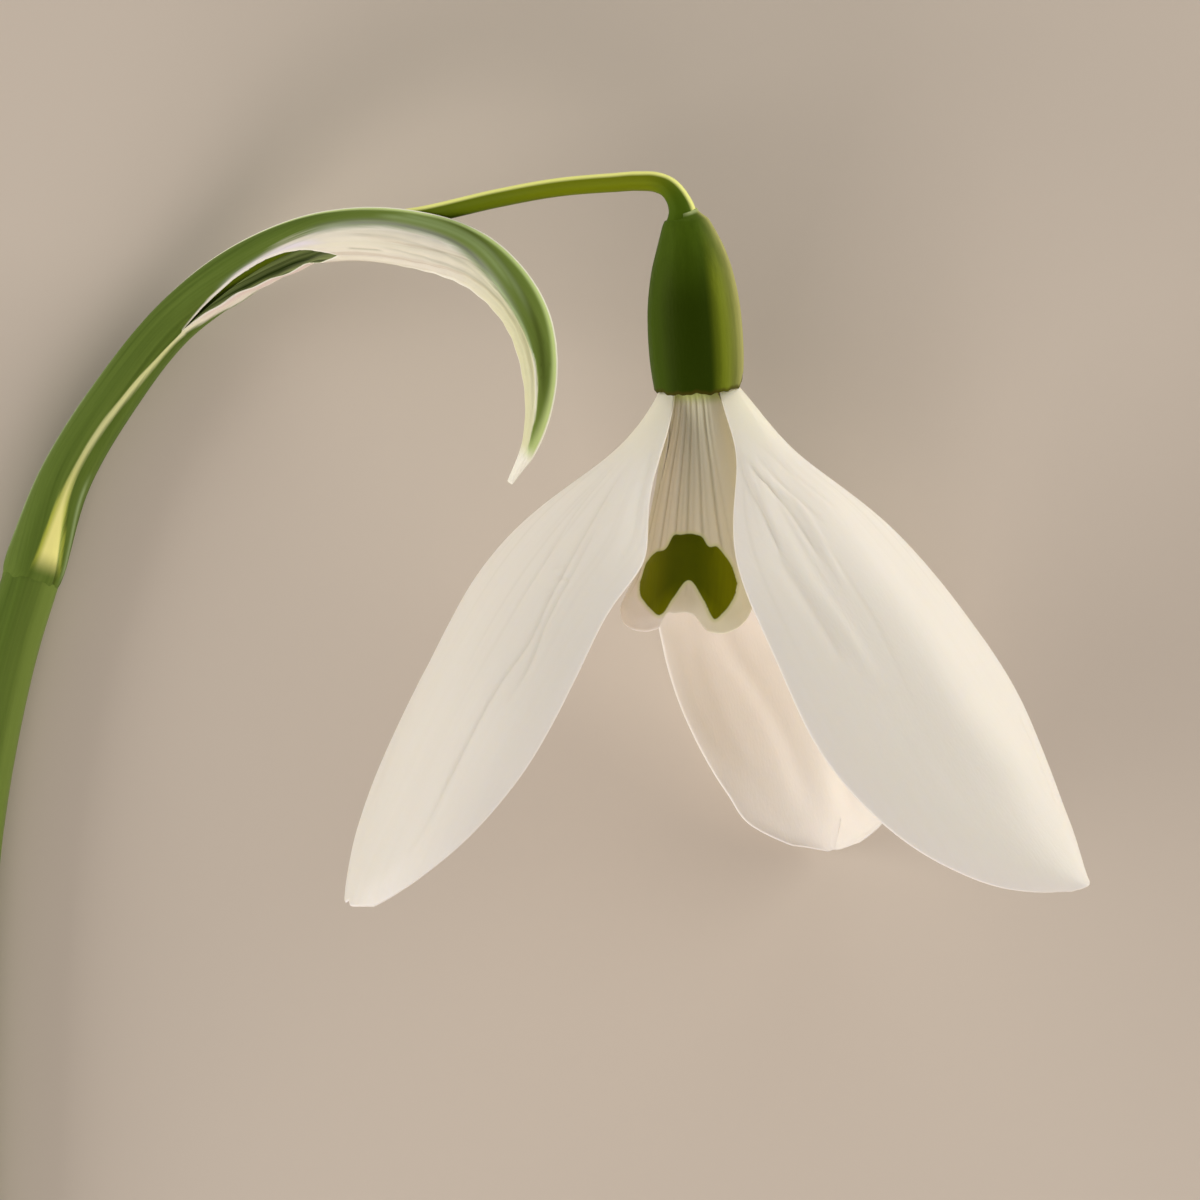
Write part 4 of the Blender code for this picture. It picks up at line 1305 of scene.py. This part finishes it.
# The camera looks straight down; its place and its lens are in millimetres.
CAMERA_PLACE = (5.122, 13.678, 315.0)
CAMERA_LENS = 202.5
# Each lamp: its place in metres, its width and height in metres, its power in watts and its colour.
LAMPS = {
    "right_lamp": ((0.52, 0.24, 0.14), (0.42, 0.2), 2.2, (1.0, 0.965, 0.91)),
    "left_lamp": ((-0.55, 0.03, 0.19), (0.42, 0.26), 1.95, (1.0, 0.96, 0.91)),
    "head_lamp": ((0.03, 0.60, 0.13), (0.45, 0.2), 0.9, (1.0, 0.965, 0.92)),
    "foot_lamp": ((0.0, -0.46, 0.26), (0.45, 0.3), 1.85, (1.0, 0.90, 0.865)),
}
SKY = (0.84, 0.79, 0.735)
SKY_STRENGTH = 0.25
# The floor's side in metres, and the cells along it.
FLOOR_SIDE = 2.4
FLOOR_CELLS = 24


def build_floor(colours):
    steps = np.linspace(-0.5, 0.5, FLOOR_CELLS + 1) * FLOOR_SIDE / MM
    x, y = np.meshgrid(steps, steps)
    points = joined(x, y, 0.0).reshape(-1, 3)
    faces = grid_cells(np.arange(x.size).reshape(x.shape)).reshape(-1, 4)
    floor = add_mesh("pale_floor", points, faces.tolist(), {"grain": points / 10})
    w = Finish("pale floor", roughness=0.8, specular=0.2)
    slow = w.add("ShaderNodeTexNoise", {"Vector": w.grain(), "Scale": 0.2, "Detail": 3.0}).outputs["Fac"]
    floor.data.materials.append(w.colour(colours.floor, (slow, 0.3, tinted(colours.floor, 0.93))))
    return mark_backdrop(floor)


def add_lamp(name, place, sides, power, tint, target):
    data = bpy.data.lights.new(name, "AREA")
    data.shape = "RECTANGLE"
    data.size, data.size_y = sides
    data.energy = power
    data.color = tint
    lamp = bpy.data.objects.new(name, data)
    bpy.context.scene.collection.objects.link(lamp)
    lamp.location = place
    lamp.rotation_euler = (target - lamp.location).to_track_quat("-Z", "Y").to_euler()
    lamp.visible_camera = False


def add_camera():
    data = bpy.data.cameras.new("camera")
    data.lens = CAMERA_LENS
    data.sensor_width = 36.0
    data.clip_start = 0.01
    data.clip_end = 10.0
    camera = bpy.data.objects.new("camera", data)
    bpy.context.scene.collection.objects.link(camera)
    camera.location = [part * MM for part in CAMERA_PLACE]
    bpy.context.scene.camera = camera


def add_sky():
    world = bpy.data.worlds.new("studio")
    world.use_nodes = True
    background = world.node_tree.nodes["Background"]
    background.inputs["Color"].default_value = (*SKY, 1.0)
    background.inputs["Strength"].default_value = SKY_STRENGTH
    bpy.context.scene.world = world


# ---- Add-on ----


def length_property(name, default, description):
    return FloatProperty(name=name, description=description, default=default, min=0.0, unit="LENGTH")


def colour_property(name, default, description):
    return FloatVectorProperty(name=name, description=description, default=default, min=0.0, max=1.0,
                               subtype="COLOR")


class SnowdropSizes(bpy.types.PropertyGroup):
    """Sizes of the flower's fine relief"""

    vein_depth: length_property("Vein depth", 0.000035, "Depth of the veins on an outer tepal")
    petal_pleats: length_property("Pleats", 0.00003, "Height of the soft pleats on an outer tepal")
    petal_ripple: length_property("Ripple", 0.00018, "How far an outer tepal's edge wanders in and out")
    rib_depth: length_property("Rib depth", 0.00007, "Depth of the furrows on an inner tepal")
    lobe_flare: length_property("Lobe flare", 0.00012, "How far an inner tepal's lobes turn out")


class SnowdropColours(bpy.types.PropertyGroup):
    """Colours of the flower and of the floor"""

    petal_white: colour_property("Petal white", (0.87, 0.838, 0.78), "Outer tepals")
    petal_cream: colour_property("Petal cream", (0.81, 0.77, 0.67), "Streaks in the white")
    petal_claw: colour_property("Petal claw", (0.90, 0.86, 0.64), "Foot of a tepal")
    # Veins of an outer tepal, and painted shade in its furrows and folds.
    petal_vein_and_shade: colour_property("Petal vein", (0.60, 0.57, 0.48), "Veins of an outer tepal")
    petal_lining: colour_property("Petal lining", (0.85, 0.775, 0.675), "Inner side of a tepal")
    lobe_pink: colour_property("Lobe pink", (1.0, 0.93, 0.87), "Left lobe of an inner tepal")
    lobe_cream: colour_property("Lobe cream", (0.95, 0.92, 0.70), "Right lobe of an inner tepal")
    # Painted shade on an inner tepal's upper part and in the notch between its lobes.
    inner_shade: colour_property("Inner tepal tint", (0.72, 0.68, 0.53), "Upper part of an inner tepal")
    inner_flank: colour_property("Inner tepal flank", (0.66, 0.70, 0.42), "Sides of an inner tepal")
    # Painted shade in the furrows of an inner tepal.
    inner_furrow_shade: colour_property("Inner tepal furrow", (0.36, 0.32, 0.19), "Furrows of an inner tepal")
    claw_green: colour_property("Claw green", (0.42, 0.48, 0.12), "Fringe between the ovary and the tepals")
    mark_green: colour_property("Mark green", (0.20, 0.215, 0.0012), "Sides of the mark")
    mark_deep: colour_property("Mark deep green", (0.072, 0.088, 0.0004), "Middle of the mark")
    mark_edge: colour_property("Mark edge", (0.56, 0.62, 0.24), "Soft glow round the mark")
    green_gleam: colour_property("Green gleam", (0.85, 1.0, 0.2), "Tint of the gloss on green skin")
    ovary_green: colour_property("Ovary green", (0.065, 0.115, 0.006), "Upper part of the ovary")
    ovary_deep: colour_property("Ovary deep green", (0.020, 0.038, 0.0008), "Body of the ovary")
    # Painted light down the ovary's right side.
    ovary_painted_light: colour_property("Ovary light green", (0.19, 0.24, 0.010), "Right side of the ovary")
    # Painted highlight down the ovary's right edge, not a rib.
    ovary_highlight: colour_property("Ovary rim", (0.56, 0.54, 0.19), "Pale rib at the right of the ovary")
    # Painted shadow along the ovary's lower edge.
    rim_shadow: colour_property("Rim brown", (0.06, 0.045, 0.006), "Lower edge of the ovary")
    pedicel_green: colour_property("Pedicel green", (0.17, 0.205, 0.001), "Pedicel")
    # Painted highlight down the pedicel's outer side, not a rib.
    pedicel_rim_highlight: colour_property("Pedicel rim", (0.96, 1.0, 0.33), "Pale outer rib of the pedicel")
    # Painted highlight on the lip where the pedicel meets the ovary.
    lip_highlight: colour_property("Stalk rim", (0.42, 0.50, 0.22), "Lip where the pedicel meets the ovary")
    spathe_green: colour_property("Spathe green", (0.095, 0.155, 0.022), "Scape and keels of the spathe")
    spathe_deep: colour_property("Spathe deep green", (0.032, 0.062, 0.006), "Dark streaks of the keels")
    spathe_light: colour_property("Spathe light green", (0.24, 0.33, 0.07), "Pale streaks of the keels")
    spathe_olive: colour_property("Spathe olive", (0.055, 0.075, 0.008), "Dark bands of the keels")
    # Pale margin along the spathe's back, partly painted highlight.
    spathe_rim_and_highlight: colour_property("Spathe rim", (0.60, 0.75, 0.31), "Pale rim along the spathe's back")
    spathe_inside: colour_property("Spathe inside", (0.50, 0.60, 0.22), "Pale streaks inside the spathe")
    membrane_cream: colour_property("Membrane cream", (0.90, 0.86, 0.68), "Papery part of the spathe")
    membrane_lilac: colour_property("Membrane lilac", (0.76, 0.71, 0.70), "Streaks of the papery part")
    # Pale lines on the keels, partly painted highlight.
    spathe_streak_and_highlight: colour_property("Spathe pale green", (0.50, 0.64, 0.34), "Pale lines on the keels")
    membrane_violet: colour_property("Membrane violet", (0.88, 0.82, 0.90), "Near edge of the slit")
    membrane_pink: colour_property("Membrane pink", (0.86, 0.68, 0.62), "Far edge of the slit")
    membrane_grey: colour_property("Membrane grey", (0.72, 0.75, 0.70), "Papery part close to the green")
    membrane_lime: colour_property("Membrane lime", (0.76, 0.78, 0.38), "Papery part towards the tip")
    membrane_brown: colour_property("Membrane brown", (0.55, 0.44, 0.32), "Dry streaks of the papery part")
    membrane_yellow: colour_property("Membrane yellow", (0.50, 0.55, 0.08), "Border of the low seam")
    membrane_seam: colour_property("Membrane seam", (1.0, 0.96, 0.34), "Papery seam low on the spathe")
    membrane_edge: colour_property("Membrane edge", (1.0, 0.98, 0.86), "Free edges and tip of the spathe")
    anther_orange: colour_property("Anther orange", (0.72, 0.36, 0.04), "Anthers")
    style_white: colour_property("Style white", (0.74, 0.75, 0.58), "Style and filaments")
    floor: colour_property("Floor", (0.64, 0.57, 0.49), "Pale surface that the flower lies on")


class BuildStep:
    """Shared settings of the operators that build the flower"""

    bl_options = {"REGISTER", "UNDO"}


class SNOWDROP_OT_stage(BuildStep, bpy.types.Operator):
    """Add the pale floor, the soft lamps and the camera"""

    bl_idname = "snowdrop.stage"
    bl_label = "Stage"

    def execute(self, context):
        build_floor(context.scene.snowdrop_colours)
        target = (CAD_BOX[0] + CAD_BOX[1]) / 2
        for name, (place, sides, power, tint) in LAMPS.items():
            add_lamp(name, place, sides, power, tint, target)
        add_camera()
        add_sky()
        context.scene.view_settings.view_transform = "Standard"
        return {"FINISHED"}


class SNOWDROP_OT_outer_tepals(BuildStep, bpy.types.Operator):
    """Build the three white outer tepals"""

    bl_idname = "snowdrop.outer_tepals"
    bl_label = "Outer tepals"

    def execute(self, context):
        finish = outer_petal_finish(context.scene.snowdrop_colours)
        for node in OUTER_TEPALS:
            settle(build_outer_tepal(node, context.scene.snowdrop_sizes), node, finish)
        return {"FINISHED"}


class SNOWDROP_OT_inner_tepals(BuildStep, bpy.types.Operator):
    """Build the three short inner tepals with their green marks"""

    bl_idname = "snowdrop.inner_tepals"
    bl_label = "Inner tepals"

    def execute(self, context):
        finish = inner_petal_finish(context.scene.snowdrop_colours)
        for node in INNER_AZIMUTHS:
            settle(build_inner_tepal(node, context.scene.snowdrop_sizes), node, finish)
        return {"FINISHED"}


class SNOWDROP_OT_ovary(BuildStep, bpy.types.Operator):
    """Build the ovary with its rim and collar"""

    bl_idname = "snowdrop.ovary"
    bl_label = "Ovary"

    def execute(self, context):
        settle(build_ovary(), "ovary", ovary_finish(context.scene.snowdrop_colours))
        return {"FINISHED"}


class SNOWDROP_OT_stamens(BuildStep, bpy.types.Operator):
    """Build the six stamens and the style"""

    bl_idname = "snowdrop.stamens"
    bl_label = "Stamens and style"

    def execute(self, context):
        finish = anther_finish(context.scene.snowdrop_colours)
        for number in range(STAMEN_COUNT):
            settle(build_stamen(number), f"stamen_{number + 1}", finish)
        settle(build_style(), "style", style_finish(context.scene.snowdrop_colours))
        return {"FINISHED"}


class SNOWDROP_OT_spathe(BuildStep, bpy.types.Operator):
    """Build the spathe with its green keels and papery membrane"""

    bl_idname = "snowdrop.spathe"
    bl_label = "Spathe"

    def execute(self, context):
        settle(build_spathe(), "spathe", spathe_finish(context.scene.snowdrop_colours))
        return {"FINISHED"}


class SNOWDROP_OT_stalks(BuildStep, bpy.types.Operator):
    """Build the pedicel that carries the flower and the scape with its cut end"""

    bl_idname = "snowdrop.stalks"
    bl_label = "Pedicel and scape"

    def execute(self, context):
        colours = context.scene.snowdrop_colours
        settle(build_pedicel(), "pedicel", pedicel_finish(colours))
        settle(build_scape(), "scape", scape_finish(colours))
        return {"FINISHED"}


class SNOWDROP_PT_sidebar(bpy.types.Panel):
    """The flower's build steps, sizes and colours"""

    bl_idname = "SNOWDROP_PT_sidebar"
    bl_label = "Snowdrop flower"
    bl_space_type = "VIEW_3D"
    bl_region_type = "UI"
    bl_category = "Snowdrop"

    def draw(self, context):
        for step in STEPS:
            self.layout.operator(step.bl_idname)
        for group in (context.scene.snowdrop_sizes, context.scene.snowdrop_colours):
            box = self.layout.box()
            for key in group.__annotations__:
                box.prop(group, key)


STEPS = (
    SNOWDROP_OT_stage, SNOWDROP_OT_outer_tepals, SNOWDROP_OT_inner_tepals, SNOWDROP_OT_ovary,
    SNOWDROP_OT_stamens, SNOWDROP_OT_spathe, SNOWDROP_OT_stalks)
CLASSES = (SnowdropSizes, SnowdropColours, *STEPS, SNOWDROP_PT_sidebar)


def register():
    for item in CLASSES:
        bpy.utils.register_class(item)
    bpy.types.Scene.snowdrop_sizes = PointerProperty(type=SnowdropSizes)
    bpy.types.Scene.snowdrop_colours = PointerProperty(type=SnowdropColours)


def unregister():
    del bpy.types.Scene.snowdrop_colours
    del bpy.types.Scene.snowdrop_sizes
    for item in reversed(CLASSES):
        bpy.utils.unregister_class(item)


def main():
    register()
    bpy.ops.snowdrop.stage()
    bpy.ops.snowdrop.outer_tepals()
    bpy.ops.snowdrop.inner_tepals()
    bpy.ops.snowdrop.ovary()
    bpy.ops.snowdrop.stamens()
    bpy.ops.snowdrop.spathe()
    bpy.ops.snowdrop.stalks()


if __name__ == "__main__":
    main()
